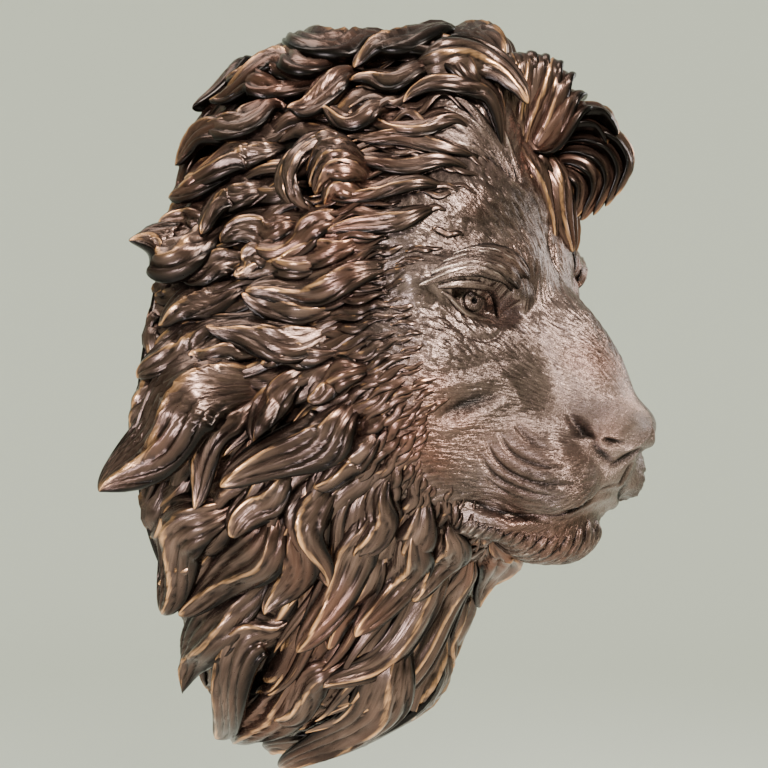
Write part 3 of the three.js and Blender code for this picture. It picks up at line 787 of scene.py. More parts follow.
def over_strands(side, rows, sides):
    """Long thin ropes of hair that start where the fur turns into mane and lie over several locks."""
    samples = flow_samples()
    parts = []
    for i, clock in enumerate(np.arange(22, 176, 7.0)):
        a, b, c, d = (scatter(i, side, k) for k in (21, 22, 23, 24))
        start = edge_depth(clock) - 6 + 40 * a
        path = flow_path(clock + 3 * (c - 0.5), max(start, -255), 100 + 50 * b, 10, samples)
        path[:, 1] = np.clip(path[:, 1], -262, -2)
        parts.append(lock_on_mane(path, side, 13 + 7 * d, 4 + 5 * a, 4.0, a + b, sides, rows, 2, 5.0))
    return parts


def forehead_strands(side, rows, sides):
    """Thin wavy strands that rise gradually out of the forehead's fur and sweep back over its locks."""
    samples = flow_samples()
    parts = []
    for j, start in enumerate((-264, -246, -226)):
        for i, clock in enumerate(np.arange(5 + j, 60, 2.9)):
            a, b, c, d = (scatter(i, j, side, k) for k in (31, 32, 33, 34))
            first = max(start + 14 * a, edge_depth(clock) - 30)
            path = flow_path(clock + 2 * (c - 0.5), first, 52 + 30 * b, 8, samples)
            path[:, 1] = np.clip(path[:, 1], -268, -2)
            parts.append(lock_on_mane(path, side, 8 + 5 * d, 2 + 4 * a, 3.4, a + b, sides, rows, 2,
                                      2.5 + 1.5 * j))
    return parts


# The face is laid out from the hub: rings that swing from the mane's edge forward to the nose.
HUB = np.array([0, HUB_DEPTH, AXIS_Z], np.float32)
FACE_FIRST_SWING = 14.0
FACE_LAST_SWING = 89.4
# The fur parts at the nose tip and flows back from it on every side.
NOSE_TIP = (0.0, -372.0, -60.0)


def hub_ways(clock, swing):
    """Ways from the hub: the clock's way turned towards the front by the swing, in degrees."""
    turn = np.radians(swing)[..., None]
    return (clock_way(clock) * np.cos(turn) + np.array([0, -1, 0]) * np.sin(turn)).astype(np.float32)


def face_points(spokes, rings):
    """The bare face's swings and points: a coarse walk inwards, then a short fine walk that starts just
    outside it."""

    def spread(n_spokes, n_rings):
        clock = np.arange(n_spokes) * 360 / n_spokes
        swing = FACE_FIRST_SWING + (FACE_LAST_SWING - FACE_FIRST_SWING) * np.linspace(0, 1, n_rings) ** 0.92
        return np.meshgrid(clock, swing, indexing="ij")

    rough_spokes, rough_rings, rough_steps, fine_steps, head_start = 96, 64, 80, 22, 6
    clock, swing = spread(rough_spokes, rough_rings)
    ways = hub_ways(clock, swing)
    rough = skin_reach(np.broadcast_to(HUB, ways.shape), ways, REACH, rough_steps)
    clock, swing = spread(spokes, rings)
    c = np.arange(spokes) * rough_spokes / spokes
    r = np.linspace(0, rough_rings - 1.001, rings)
    c0, r0 = c.astype(int), r.astype(int)
    fc, fr = (c - c0)[:, None], (r - r0)[None]
    wide = np.concatenate([rough, rough[:1]], 0)
    guess = ((wide[c0][:, r0] * (1 - fr) + wide[c0][:, r0 + 1] * fr) * (1 - fc)
             + (wide[c0 + 1][:, r0] * (1 - fr) + wide[c0 + 1][:, r0 + 1] * fr) * fc)
    ways = hub_ways(clock, swing)
    starts = np.broadcast_to(HUB, ways.shape)
    reach = skin_reach(starts, ways, guess + head_start, fine_steps)
    return swing, starts + ways * reach[..., None]


def shingle(around, along, seed):
    """Pointed tufts that overlap like shingles. Each cell of the grid (around, along) holds one tuft,
    which rises along its length, narrows to its tip and drops there."""
    wavy = along + 0.35 * np.sin(around * 2.1 + seed)
    row = np.floor(wavy)
    t = wavy - row
    shifted = around + 0.5 * (row % 2) + 0.35 * np.sin(row * 1.7 + seed) + 0.25 * np.sin(t * 3 + around)
    column = np.floor(shifted)
    chance = scatter(row, column, seed)
    x = (shifted - column - 0.5) * 2
    wide = 1.05 - 0.75 * t ** 2
    body = np.maximum(1 - (x / wide) ** 2, 0)
    return body * (0.25 + 0.75 * t) * (0.6 + 0.4 * chance) * np.clip((1 - t) * 6, 0, 1)


def near_form(points, name, spread):
    """1 on the named form and 0 further than `spread` outside it, with a smooth step between."""
    for kind, own, data, _ in FORMS:
        if own == name:
            return smooth_step(1 - form_level(folded(points), kind, data) / spread)
    raise KeyError(name)


def seat_on_face(points):
    """Points moved along their lines from the hub until they lie on the face's skin."""
    ways = unit(np.asarray(points, np.float32) - HUB)
    reach = skin_reach(np.broadcast_to(HUB, ways.shape), ways, REACH, WALK_STEPS)
    return HUB + ways * reach[..., None]


def face_facing(points):
    """The way the face's skin faces: the slope of the head's level over 3 mm."""
    points = np.asarray(points, np.float32)
    slopes = [head_level(points + step) - head_level(points - step)
              for step in 1.5 * np.eye(3, dtype=np.float32)]
    return unit(np.stack(slopes, -1))


def beard_tufts(side):
    """The short beard: rows of tufts that hang from the lip's line and fall down and back over the chin."""
    parts = []
    for j in reversed(range(BEARD_ROWS)):
        for i in range(BEARD_COUNT):
            a, b = scatter(i, j, side, 11), scatter(i, j, side, 12)
            share = (i + 0.5 * (j % 2) + 0.4 * (a - 0.5)) / 12.5
            root = curve_through(BEARD_LINE, [share])[0] + (-3.0 * j, 1.5 * j, -7.0 * j)
            fall = np.array([-2 - 5 * b, 12 + 7 * a, -25 - 7 * b])
            bend = np.array([3, -3, 0]) * (1 - j / BEARD_ROWS)
            points = [root, root + 0.45 * fall + bend, root + fall]
            points = [(max(p[0], 1), p[1], p[2]) for p in points]
            parts.append(face_tuft((points, 8 + 3 * b, 0.5 + 1.2 * a), side, a + b, *BEARD_GRID, 2))
    return parts


def line_share(points, path, width):
    """Each point's share of a carved line's height: 1 on the seated path, a bell `width` wide across it,
    and less towards its ends."""
    share = np.linspace(0, 1, 4 * len(path))
    seated = seat_on_face(curve_through(path, share))
    shrink = -1.6 * width * (1 - np.sin(np.pi * np.clip(share, 0.02, 0.98)) ** 0.5)
    gap = cord_level(folded(points), [tuple(p) + (r,) for p, r in zip(seated, shrink)])
    return np.exp(-(gap / width) ** 2)


def face_part(spokes, rings, fur_depth):
    """The carved face: bare skin moved along its facing by overlapping fur tufts and by carved lines. The
    tufts come in three sizes, each laid out by the angle round the nose and the distance from its tip."""
    swing, skin = face_points(spokes, rings)
    d_clock = np.roll(skin, -1, 0) - np.roll(skin, 1, 0)
    d_swing = np.gradient(skin, axis=1)
    facing = unit(np.cross(d_clock, d_swing))
    x, y, z = skin[..., 0], skin[..., 1], skin[..., 2]
    wave = 2.4 * np.sin(z / 21 + y / 34) + 1.8 * np.sin(y / 15 - z / 27 + 1.3)
    around = np.degrees(np.arctan2(np.abs(x), z - NOSE_TIP[2])) + wave
    run = np.linalg.norm(skin - np.array(NOSE_TIP, np.float32), axis=-1)
    coarse = shingle(around / 3.6, run / 24, 1.0)
    middle = shingle(around / 2.4 + 0.3, run / 17 + 0.5, 2.0)
    fine = shingle(around / 1.8 + 0.7, run / 13 + 0.2, 3.0)
    fur = 0.5 * coarse + 0.45 * middle + 0.4 * fine
    bare = np.maximum(near_form(skin, "nose pad", 5), near_form(skin, "eye socket", 5))
    front = 1 - smooth_step((run - 30) / 50)
    smooth = 0.72 * near_form(skin, "muzzle", 14) + 0.3 * near_form(skin, "bridge", 30) + 0.6 * front
    smooth = np.maximum(smooth, 0.8 * near_form(skin, "lower lip", 3))
    amount = np.clip(1 - bare - np.minimum(smooth, 1) * (1 - bare), 0, 1)
    carved = np.zeros_like(fur)
    grooves = np.zeros_like(fur)
    for _, path, width, depth in FACE_LINES:
        line = line_share(skin, path, width)
        carved += depth * line
        # A groove is marked for painted shade, and its fur is thinned.
        if depth < 0:
            grooves = np.maximum(grooves, line * min(1, -depth / 3))
            amount = amount * (1 - 0.8 * line)
    height = fur_depth * fur * amount + carved
    height -= 5.0 * (1 - smooth_step((swing - FACE_FIRST_SWING) / 4))
    points = skin + facing * height[..., None]
    # The fur tips are worn bright, also as painted highlight, and painted shade lies between the tufts and in
    # the grooves.
    wear_and_highlight = np.clip((fur - 0.46) * 1.6, 0, 1) * amount * 0.55 * (1 - grooves)
    painted_shade = np.maximum(np.clip(0.66 - fur * 0.9, 0, 1) * amount, grooves)
    tip = points[:, -1].mean(0)
    return ring_part(points.transpose(1, 0, 2), (0, HUB_DEPTH, AXIS_Z), tip, wear_and_highlight.T,
                     np.clip(painted_shade, 0, 1).T, around.T / UV_TURN, run.T / UV_STEP)


def face_tuft(row, side, seed, rows, sides, strands):
    """A tuft that lies on the face: its rough path is seated on the skin and lifted towards its tip."""
    points, width, lift = row
    share = lock_shares(rows)
    spots = seat_on_face(curve_through(np.array(points) * (side, 1, 1), share))
    up = face_facing(spots)
    raised = 0.08 * width + lift * share ** 1.5 - 0.3 * width * (1 - smooth_step(share / 0.25))
    return lock_part(spots + up * raised[:, None], up, width, 0, seed, sides, strands)


def fold_part(path, side, width, seed, fullness=0.5, rows=40, sides=18):
    """A smooth fold of skin: a lens profile along a path, tapering away at both ends."""
    share = np.linspace(0.004, 0.996, rows)
    spots = curve_through(np.array(path) * (side, 1, 1), share)
    along = unit(np.gradient(spots, axis=0))
    ups = unit(spots - np.array(EYE_CENTRE) * (side, 1, 1))
    up = unit(ups - along * (ups * along).sum(-1, keepdims=True))
    across = np.cross(up, along)
    breadth = (width / 2 * np.sin(np.pi * share) ** 0.45)[:, None]
    turn = np.linspace(0, 2 * np.pi, sides, endpoint=False)[None]
    x, z = np.cos(turn), np.sin(turn)
    grid = (spots[:, None] + across[:, None] * (breadth * x)[..., None]
            + up[:, None] * (breadth * 2 * fullness * z)[..., None])
    # Wear on the fold's top, also painted highlight, and painted shade on its underside.
    wear_and_highlight = np.clip(z, 0, 1) ** 3 * 0.5 * np.ones_like(breadth)
    painted_shade = np.clip(0.8 - z, 0, 1) * np.ones_like(breadth)
    return ring_part(grid, spots[0], spots[-1], wear_and_highlight, painted_shade,
                     np.broadcast_to(x * width / (2 * UV_STEP), wear_and_highlight.shape), share + seed)


def eyeball_part(side, rings, sides):
    """The eye: a ball about its gaze, with a raised iris ringed by a groove and a sunk pupil."""
    centre = np.array(EYE_CENTRE) * (side, 1, 1)
    gaze = unit(np.array(EYE_GAZE) * (side, 1, 1))
    up = unit(np.array([0, 0, 1.0]) - gaze * gaze[2])
    right = np.cross(gaze, up)
    polar = np.linspace(0.015, math.pi * 0.62, rings)
    arc = polar * EYE_RADIUS
    raised = (0.9 * smooth_step((IRIS_RADIUS - arc) / 1.4) - 0.9 * np.exp(-((arc - IRIS_RADIUS) / 0.8) ** 2)
              - 2.6 * smooth_step((PUPIL_RADIUS - arc) / 0.9))
    reach = EYE_RADIUS + raised
    turn = np.linspace(0, 2 * np.pi, sides, endpoint=False)
    out = right[None] * np.cos(turn)[:, None] + up[None] * np.sin(turn)[:, None]
    grid = (centre + gaze * (reach * np.cos(polar))[:, None, None]
            + out[None] * (reach * np.sin(polar))[:, None, None])
    # Wear in a ring on the raised iris, also painted highlight.
    wear_and_highlight = np.broadcast_to((0.25 * np.exp(-((arc - IRIS_RADIUS + 2) / 1.5) ** 2))[:, None], grid.shape[:2])
    # Painted shade in the groove round the iris and in the sunk pupil, and a little over the whole eye.
    dark = (0.5 * np.exp(-((arc - IRIS_RADIUS) / 0.9) ** 2) + smooth_step((PUPIL_RADIUS + 0.4 - arc) / 0.8)
            + 0.3)
    painted_shade = np.broadcast_to(np.clip(dark, 0, 1)[:, None], grid.shape[:2])
    across = np.broadcast_to(turn / 6, grid.shape[:2])
    return ring_part(grid[::-1], centre - gaze * 5, centre + gaze * reach[0], wear_and_highlight[::-1], painted_shade[::-1],
                     across, arc[::-1] / UV_STEP)


# How far the flat back reaches out under the roots of the mane's last locks, and its edge's thickness.
BACK_LAP = 7.0
BACK_EDGE = 3


def mane_bed_part(spokes, rings):
    """The mane's skin under the locks: the clock and depth grid, with strands pressed into it."""
    clock = np.arange(spokes) * 360 / spokes
    share = np.linspace(0, 1, rings)
    depth = np.outer(share, edge_depth(clock) - 26)
    angle = np.broadcast_to(clock, depth.shape)
    skin = mane_skin(angle, depth)
    strands = np.sin(angle * 1.9 + 2.0 * np.sin(depth / 31)) * 1.2 * np.sin(np.pi * share)[:, None]
    sunk = 3.0 * smooth_step((share - 0.55) / 0.3)[:, None]
    grid = skin + mane_facing(angle, depth) * (strands - sunk)[..., None]
    grid[0, :, 1] = 0
    outward = clock_way(clock)
    plate = np.stack([grid[0] - 4 * outward, grid[0] + BACK_LAP * outward,
                      grid[0] + (BACK_LAP - 1) * outward])
    plate[2, :, 1] = -BACK_EDGE
    grid = np.concatenate([plate, grid[1:]])
    angle = np.concatenate([angle[:1], angle[:1], angle])
    share = np.concatenate([[0, 0], share])
    # Painted shade: the bed under the locks is nearly black all over.
    painted_shade = np.full(angle.shape, 0.95)
    return ring_part(grid, (0, 0, AXIS_Z), (0, -180, AXIS_Z), np.zeros_like(painted_shade), painted_shade,
                     angle / UV_TURN, share * 4)


def linear(hex_colour, alpha=1.0):
    """An sRGB hex colour as the linear red, green, blue and alpha that sockets take."""
    parts = [int(hex_colour[i:i + 2], 16) / 255 for i in (1, 3, 5)]
    return tuple(c / 12.92 if c <= 0.04045 else ((c + 0.055) / 1.055) ** 2.4 for c in parts) + (alpha,)


def add_node(tree, kind, links=(), **settings):
    """A node with its settings, where a name that is a socket sets that socket, and its incoming links."""
    node = tree.nodes.new(kind)
    for name, value in settings.items():
        if hasattr(node, name):
            setattr(node, name, value)
        else:
            node.inputs[name.replace("_", " ")].default_value = value
    for source, socket in links:
        tree.links.new(source, node.inputs[socket])
    return node


# Object coordinates are metres, so a noise's scale is how many of its patches go to a metre. The soft
# clouds are 45 mm across, the heat's clouds 110 mm, and the cast grain 1.4 mm.
CLOUDS_PER_METRE = 22.0
HEATS_PER_METRE = 9.0
GRAINS_PER_METRE = 700.0
# Strands to one step of the UV map, across and along: 3 by 50 mm in the hair, where a step is 60 mm, and
# about 1.6 by 12 mm on the face, drawn coarser than real fur so that they show.
HAIR_STRANDS = (20.0, 1.2, 1.0)
FACE_STRANDS = (34.0, 5.0, 1.0)
# How strongly the strands are pressed in, and the least and the greatest roughness of the waxed metal.
HAIR_BUMP = 0.35
FACE_BUMP = 0.75
HAIR_ROUGHNESS = (0.17, 0.33)
FACE_ROUGHNESS = (0.19, 0.38)
# Less than 1, because wax and oxides lie over the metal.
METALLIC = 0.85


def patinated_bronze(name, colours, strand_scale, strand_bump, roughness):
    """Cast bronze under a dark brown heat and wax patina, brushed back to warm metal on what stands proud.
    The worn crests and edges are also painted brighter as highlight, and painted shade makes the hollows, the
    feet and undersides of the locks and the carved grooves nearly black. Between them lie brown flanks with a
    soft waxed shine and copper gold edges."""
    material = bpy.data.materials.new(name)
    material.use_nodes = True
    tree = material.node_tree
    tree.nodes.clear()
    place = add_node(tree, "ShaderNodeTexCoord")
    wear_and_highlight = add_node(tree, "ShaderNodeAttribute", attribute_name="wear_and_highlight")
    painted_shade = add_node(tree, "ShaderNodeAttribute", attribute_name="painted_shade")
    cloud = add_node(tree, "ShaderNodeTexNoise", [(place.outputs["Object"], "Vector")],
                     Scale=CLOUDS_PER_METRE, Detail=3.0, Roughness=0.5)
    speck = add_node(tree, "ShaderNodeTexNoise", [(place.outputs["Object"], "Vector")],
                     Scale=GRAINS_PER_METRE, Detail=3.0, Roughness=0.6)
    stretch = add_node(tree, "ShaderNodeMapping", [(place.outputs["UV"], "Vector")], Scale=strand_scale)
    strand = add_node(tree, "ShaderNodeTexNoise", [(stretch.outputs["Vector"], "Vector")],
                      Scale=1.0, Detail=3.0, Roughness=0.6)
    # Brown patina: streaks along the hair, a little lighter in soft clouds, and painted shade, near black, in
    # the hollows, on the locks' flanks and undersides and under the locks.
    mottle = add_node(tree, "ShaderNodeMath", [(cloud.outputs["Fac"], 0), (strand.outputs["Fac"], 1)],
                      operation="MULTIPLY")
    mottle = add_node(tree, "ShaderNodeMapRange", [(mottle.outputs[0], "Value")],
                      From_Min=0.12, From_Max=0.42)
    flank = add_node(tree, "ShaderNodeMix", [(mottle.outputs[0], 0)], data_type="RGBA")
    flank.inputs[6].default_value = linear(colours["flank"])
    flank.inputs[7].default_value = linear(colours["sheen"])
    # Broad reddish clouds, where the heat of the torch turned the patina.
    heat = add_node(tree, "ShaderNodeTexNoise", [(place.outputs["Object"], "Vector")],
                    Scale=HEATS_PER_METRE, Detail=2.0, Roughness=0.5)
    heat = add_node(tree, "ShaderNodeMapRange", [(heat.outputs["Fac"], "Value")],
                    From_Min=0.48, From_Max=0.70, To_Max=0.55)
    warm = add_node(tree, "ShaderNodeMix", [(heat.outputs[0], 0), (flank.outputs[2], 6)], data_type="RGBA")
    warm.inputs[7].default_value = linear(colours["heat"])
    deep = add_node(tree, "ShaderNodeMix", [(painted_shade.outputs["Fac"], 0), (warm.outputs[2], 6)],
                    data_type="RGBA")
    deep.inputs[7].default_value = linear(colours["painted_shade"])
    # Brushed wear on the proud places, which is also painted highlight on the crests and tips, broken up
    # along the strands.
    worn = add_node(tree, "ShaderNodeMath", [(wear_and_highlight.outputs["Fac"], 0), (strand.outputs["Fac"], 1)],
                    operation="MULTIPLY")
    worn = add_node(tree, "ShaderNodeMath", [(worn.outputs[0], 0), (cloud.outputs["Fac"], 1)],
                    operation="MULTIPLY")
    worn = add_node(tree, "ShaderNodeMapRange", [(worn.outputs[0], "Value")], From_Min=0.10, From_Max=0.29)
    colour = add_node(tree, "ShaderNodeMix", [(worn.outputs[0], 0), (deep.outputs[2], 6)], data_type="RGBA")
    colour.inputs[7].default_value = linear(colours["worn"])
    shine = add_node(tree, "ShaderNodeMapRange", [(speck.outputs["Fac"], "Value")],
                     To_Min=roughness[0], To_Max=roughness[1])
    bump = add_node(tree, "ShaderNodeBump", [(strand.outputs["Fac"], "Height")],
                    Strength=strand_bump, Distance=0.002)
    grain = add_node(tree, "ShaderNodeBump", [(speck.outputs["Fac"], "Height"), (bump.outputs[0], "Normal")],
                     Strength=0.10, Distance=0.00012)
    shader = add_node(tree, "ShaderNodeBsdfPrincipled",
                      [(colour.outputs[2], "Base Color"), (shine.outputs[0], "Roughness"),
                       (grain.outputs[0], "Normal")], Metallic=METALLIC)
    add_node(tree, "ShaderNodeOutputMaterial", [(shader.outputs[0], "Surface")])
    return material


def plain_paint(name, hex_colour, roughness):
    """Matt studio paint, one even colour."""
    material = bpy.data.materials.new(name)
    material.use_nodes = True
    shader = material.node_tree.nodes["Principled BSDF"]
    shader.inputs["Base Color"].default_value = linear(hex_colour)
    shader.inputs["Roughness"].default_value = roughness
    return material


def shared_material(key):
    """The bronze of the hair or of the face, made once and then found again by its name."""
    name = "patinated bronze " + key
    if name in bpy.data.materials:
        return bpy.data.materials[name]
    look = bpy.context.scene.lion_mask_colours
    colours = {"painted_shade": look.painted_shade, "heat": look.heat}
    if key == "hair":
        colours.update(flank=look.flank, sheen=look.hair_sheen, worn=look.worn)
        return patinated_bronze(name, colours, HAIR_STRANDS, HAIR_BUMP, HAIR_ROUGHNESS)
    colours.update(flank=look.face_flank, sheen=look.face_sheen, worn=look.face_worn)
    return patinated_bronze(name, colours, FACE_STRANDS, FACE_BUMP, FACE_ROUGHNESS)


def sides_for(base, width):
    """Points round a lock: `base` for one 30 mm wide, and more for a wider one."""
    return int(base * (0.6 + width / 75))


def strands_for(width):
    """Strands in a lock: one to each 8 mm of its width, and three at least."""
    return max(3, round(width / 8))


def right_and_left(name, right):
    """The names of a pair of pieces with the signs of their sides. The clock grows towards the lion's
    right, so there `right` is 1, and x grows towards its left, so there it is -1."""
    return (("right_" + name, right), ("left_" + name, -right))


class LionMaskSizes(bpy.types.PropertyGroup):
    """Sizes of the fine carving."""
    fur_depth: bpy.props.FloatProperty(
        name="Fur depth", description="Height of the face's fur tufts in millimetres", default=2.1,
        min=0, max=6)
    lock_rows: bpy.props.IntProperty(
        name="Lock rows", description="Rings along each large lock", default=36, min=8, max=96)
    lock_sides: bpy.props.IntProperty(
        name="Lock sides", description="Points round each large lock", default=34, min=8, max=64)


class LionMaskColours(bpy.types.PropertyGroup):
    """Colours of the patina, with its painted shade and painted highlight, as sRGB hex values."""
    # Painted shade, laid in the hollows, on the locks' flanks and undersides and on the bed under them.
    painted_shade: bpy.props.StringProperty(
        name="Painted shade", description="Painted shade in the hollows and under the locks", default="#0c0806")
    flank: bpy.props.StringProperty(
        name="Flanks", description="Patina on the flanks of the locks", default="#33251f")
    hair_sheen: bpy.props.StringProperty(
        name="Hair sheen", description="Lighter clouds of the hair's patina", default="#6b564c")
    # Worn metal on the crests, which also serves as painted highlight.
    worn: bpy.props.StringProperty(
        name="Worn metal", description="Bronze brushed bright on the crests, with painted highlight", default="#dba473")
    face_flank: bpy.props.StringProperty(
        name="Face", description="Patina of the face", default="#40332d")
    face_sheen: bpy.props.StringProperty(
        name="Face sheen", description="Lighter clouds of the face's patina", default="#7d6a62")
    # Worn fur tips on the face, which also serve as painted highlight.
    face_worn: bpy.props.StringProperty(
        name="Face worn", description="Fur tips brushed bright, with painted highlight", default="#dcc4b6")
    heat: bpy.props.StringProperty(
        name="Heat clouds", description="Reddish patina where the torch lingered", default="#704a3b")


class LION_OT_face(bpy.types.Operator):
    """Carves the face, from the nose back under the mane's first locks"""
    bl_idname = "lion_mask.face"
    bl_label = "Face"

    def execute(self, context):
        spokes, rings = FACE_GRID
        part = face_part(spokes, rings, context.scene.lion_mask_sizes.fur_depth)
        make_piece("face", [part], shared_material("face"))
        return {"FINISHED"}


class LION_OT_eyes(bpy.types.Operator):
    """Sets the eyeballs and the folds of their lids"""
    bl_idname = "lion_mask.eyes"
    bl_label = "Eyes"

    def execute(self, context):
        for name, side in right_and_left("eye", -1):
            parts = [eyeball_part(side, *EYE_GRID)]
            parts += [fold_part(path, side, width, 0.3 * i) for i, (_, path, width) in enumerate(LID_FOLDS)]
            make_piece(name, parts, shared_material("face"))
        return {"FINISHED"}


class LION_OT_face_tufts(bpy.types.Operator):
    """Carves the tufts of the brows and the forehead, and the short beard under the lip"""
    bl_idname = "lion_mask.face_tufts"
    bl_label = "Face tufts"

    def execute(self, context):
        parts = []
        for side in (-1, 1):
            parts += [face_tuft(row, side, (i * 0.37) % 1, *BROW_GRID, 4) for i, row in enumerate(BROW_TUFTS)]
            parts += [face_tuft(row, side, (i * 0.43) % 1, *FOREHEAD_GRID, 2)
                      for i, row in enumerate(FOREHEAD_TUFTS)]
            parts += beard_tufts(side)
        make_piece("face_tufts", parts, shared_material("face"))
        return {"FINISHED"}


class LION_OT_mane_bed(bpy.types.Operator):
    """Lays the mane's skin from the flat back to the face"""
    bl_idname = "lion_mask.mane_bed"
    bl_label = "Mane bed"

    def execute(self, context):
        make_piece("mane_bed", [mane_bed_part(*MANE_BED_GRID)], shared_material("hair"))
        return {"FINISHED"}


class LION_OT_side_locks(bpy.types.Operator):
    """Carves the named locks of the right and the left of the mane"""
    bl_idname = "lion_mask.side_locks"
    bl_label = "Side locks"

    def execute(self, context):
        sizes = context.scene.lion_mask_sizes
        for name, side in right_and_left("mane_locks", 1):
            parts = []
            for i, row in enumerate(SIDE_LOCKS):
                change = 0 if side == 1 else 2 * math.sin(i * 2.4)
                parts.append(mane_lock(row, side, change, (i * 0.37) % 1, sizes.lock_rows,
                                       sides_for(sizes.lock_sides, row[3]), strands_for(row[3])))
            make_piece(name, parts, shared_material("hair"))
        return {"FINISHED"}


class LION_OT_middle_locks(bpy.types.Operator):
    """Carves the locks along the crown and under the chin"""
    bl_idname = "lion_mask.middle_locks"
    bl_label = "Middle locks"

    def execute(self, context):
        sizes = context.scene.lion_mask_sizes
        parts = [mane_lock(row, 1, 0, (i * 0.53) % 1, sizes.lock_rows, sizes.lock_sides, strands_for(row[3]))
                 for i, row in enumerate(MIDDLE_LOCKS)]
        make_piece("middle_locks", parts, shared_material("hair"))
        return {"FINISHED"}


class LION_OT_under_locks(bpy.types.Operator):
    """Fills between the named locks with low ones that follow their flow"""
    bl_idname = "lion_mask.under_locks"
    bl_label = "Under locks"

    def execute(self, context):
        for name, side in right_and_left("under_locks", 1):
            make_piece(name, under_locks(side, *UNDER_LOCK_GRID), shared_material("hair"))
        return {"FINISHED"}


class LION_OT_border_tufts(bpy.types.Operator):
    """Carries the fur of the face over into the mane with thin wavy tufts and long strands"""
    bl_idname = "lion_mask.border_tufts"
    bl_label = "Border tufts"

    def execute(self, context):
        for name, side in right_and_left("border_tufts", 1):
            make_piece(name, border_tufts(side, *BORDER_TUFT_GRID), shared_material("hair"))
        for name, side in right_and_left("strands", 1):
            parts = over_strands(side, *OVER_STRAND_GRID) + forehead_strands(side, *FOREHEAD_STRAND_GRID)
            make_piece(name, parts, shared_material("hair"))
        return {"FINISHED"}


class LION_OT_forelock(bpy.types.Operator):
    """Carves the fan and the curls that stand over the forehead"""
    bl_idname = "lion_mask.forelock"
    bl_label = "Forelock"

    def execute(self, context):
        sizes = context.scene.lion_mask_sizes
        parts = [free_tuft(row, 1, (i * 0.41) % 1, sizes.lock_rows, sides_for(sizes.lock_sides, row[1]),
                           strands_for(row[1]), fullness=FORELOCK_FULLNESS)
                 for i, row in enumerate(FORELOCK)]
        parts += fan_ribs(sizes.lock_rows, FAN_SIDES)
        make_piece("forelock", parts, shared_material("hair"))
        return {"FINISHED"}


class LION_OT_ears(bpy.types.Operator):
    """Carves the bowl, the rim and the tufts of each ear"""
    bl_idname = "lion_mask.ears"
    bl_label = "Ears"

    def execute(self, context):
        for name, side in right_and_left("ear", -1):
            parts = [ear_cup(side, *EAR_CUP_GRID)]
            parts += ear_rim(side, *EAR_RIM_GRID)
            parts += [free_tuft(row, side, i * 0.4, *EAR_TUFT_GRID, 4, centre=(side * 70, -110, 110))
                      for i, row in enumerate(EAR_TUFTS)]
            make_piece(name, parts, shared_material("hair"))
        return {"FINISHED"}


# The studio: the photograph's view, from the lion's right and a little above.
VIEW_AZIMUTH = -55.0
VIEW_ELEVATION = 3.0
VIEW_DISTANCE = 1.7
VIEW_TARGET = (0.0, -0.130, -0.030)
PICTURE_SIZE = 768
FOCAL_PIXELS = 2060.0
SENSOR_WIDTH = 36.0
FLOOR_HEIGHT = -0.95
ROOM_RADIUS = 6.0
ROOM_BEND = 2.5
ROOM_HEIGHT = 7.0
WORLD_COLOUR = "#dfe1d8"
WORLD_STRENGTH = 1.1
ROOM_COLOUR = "#e6eadf"
ROOM_ROUGHNESS = 0.9
# Soft boxes that look at the mask: name, azimuth, elevation, distance, size, watts and colour.
LIGHTS = (
    ("key", -46, 30, 1.9, 0.45, 108, "#fff6ee"),
    ("fill", -92, -6, 2.2, 0.45, 52, "#f8f6ff"),
    ("top", -140, 66, 1.9, 0.9, 30, "#fff8f0"),
    ("far_side", 60, 20, 2.0, 1.0, 26, "#ffffff"),
)


def seen_from(azimuth, elevation, distance, target):
    """A point at an azimuth, where 0 looks along +Y, an elevation and a distance from the target."""
    a, e = math.radians(azimuth), math.radians(elevation)
    return (target[0] + distance * math.sin(a) * math.cos(e),
            target[1] - distance * math.cos(a) * math.cos(e),
            target[2] + distance * math.sin(e))


def aim(obj, target):
    """Turns a camera or a light so that it looks at the target."""
    obj.rotation_euler = (Vector(target) - Vector(obj.location)).to_track_quat("-Z", "Y").to_euler()


def area_light(name, azimuth, elevation, distance, size, power, hex_colour):
    """A square soft box that looks at the mask."""
    data = bpy.data.lights.new(name, "AREA")
    data.size = size
    data.energy = power
    data.color = linear(hex_colour)[:3]
    lamp = bpy.data.objects.new(name, data)
    bpy.context.scene.collection.objects.link(lamp)
    lamp.location = seen_from(azimuth, elevation, distance, VIEW_TARGET)
    aim(lamp, VIEW_TARGET)


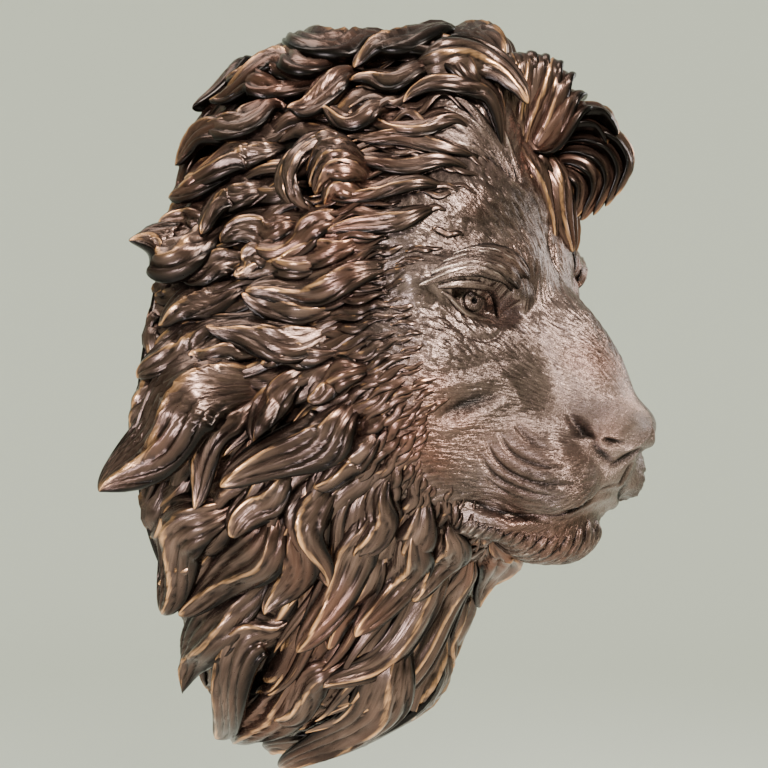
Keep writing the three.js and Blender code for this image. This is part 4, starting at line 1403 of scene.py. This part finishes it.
class LION_OT_stage(bpy.types.Operator):
    """Sets the camera, the soft boxes and the plain pale floor and backdrop"""
    bl_idname = "lion_mask.stage"
    bl_label = "Stage"

    def execute(self, context):
        scene = context.scene
        data = bpy.data.cameras.new("camera")
        data.sensor_width = SENSOR_WIDTH
        data.lens = FOCAL_PIXELS * SENSOR_WIDTH / PICTURE_SIZE
        camera = bpy.data.objects.new("camera", data)
        scene.collection.objects.link(camera)
        camera.location = seen_from(VIEW_AZIMUTH, VIEW_ELEVATION, VIEW_DISTANCE, VIEW_TARGET)
        aim(camera, VIEW_TARGET)
        scene.camera = camera
        for light in LIGHTS:
            area_light(*light)
        world = bpy.data.worlds.new("studio")
        world.use_nodes = True
        background = world.node_tree.nodes["Background"]
        background.inputs["Color"].default_value = linear(WORLD_COLOUR)
        background.inputs["Strength"].default_value = WORLD_STRENGTH
        scene.world = world
        self.floor_and_backdrop()
        return {"FINISHED"}

    def floor_and_backdrop(self):
        """A round floor that turns up into a tall round wall: a profile turned about the upright axis."""
        bend = np.linspace(0, np.pi / 2, 16)
        radius = np.concatenate([[0.01, 2.0], ROOM_RADIUS - ROOM_BEND * (1 - np.sin(bend)), [ROOM_RADIUS]])
        height = np.concatenate([[0, 0], ROOM_BEND * (1 - np.cos(bend)), [ROOM_HEIGHT]])
        turn = np.linspace(0, 2 * np.pi, 96, endpoint=False)
        grid = np.stack(np.broadcast_arrays(radius[:, None] * np.cos(turn), radius[:, None] * np.sin(turn),
                                            height[:, None] + FLOOR_HEIGHT), -1)
        index = np.arange(grid.size // 3).reshape(grid.shape[:2])
        nxt = np.roll(index, -1, axis=1)
        faces = np.stack([index[:-1], nxt[:-1], nxt[1:], index[1:]], -1).reshape(-1, 4)
        mesh = bpy.data.meshes.new("backdrop")
        mesh.from_pydata(grid.reshape(-1, 3).tolist(), [], faces.tolist())
        mesh.materials.append(plain_paint("studio paint", ROOM_COLOUR, ROOM_ROUGHNESS))
        mesh.shade_smooth()
        room = bpy.data.objects.new("backdrop", mesh)
        bpy.context.scene.collection.objects.link(room)


STEPS = (LION_OT_stage, LION_OT_face, LION_OT_eyes, LION_OT_face_tufts, LION_OT_mane_bed,
         LION_OT_side_locks, LION_OT_middle_locks, LION_OT_under_locks, LION_OT_border_tufts,
         LION_OT_forelock, LION_OT_ears)


class LION_PT_panel(bpy.types.Panel):
    """Lists the sizes, the colours and the steps"""
    bl_idname = "LION_PT_panel"
    bl_label = "Lion mask"
    bl_space_type = "VIEW_3D"
    bl_region_type = "UI"
    bl_category = "Lion mask"

    def draw(self, context):
        for group in (context.scene.lion_mask_sizes, context.scene.lion_mask_colours):
            for name in group.__annotations__:
                self.layout.prop(group, name)
        for step in STEPS:
            self.layout.operator(step.bl_idname)


CLASSES = (LionMaskSizes, LionMaskColours) + STEPS + (LION_PT_panel,)


def register():
    for cls in CLASSES:
        bpy.utils.register_class(cls)
    bpy.types.Scene.lion_mask_sizes = bpy.props.PointerProperty(type=LionMaskSizes)
    bpy.types.Scene.lion_mask_colours = bpy.props.PointerProperty(type=LionMaskColours)


def unregister():
    del bpy.types.Scene.lion_mask_colours
    del bpy.types.Scene.lion_mask_sizes
    for cls in reversed(CLASSES):
        bpy.utils.unregister_class(cls)


def main():
    """Runs every step in order."""
    register()
    for step in STEPS:
        group, name = step.bl_idname.split(".")
        getattr(getattr(bpy.ops, group), name)()


if __name__ == "__main__":
    main()
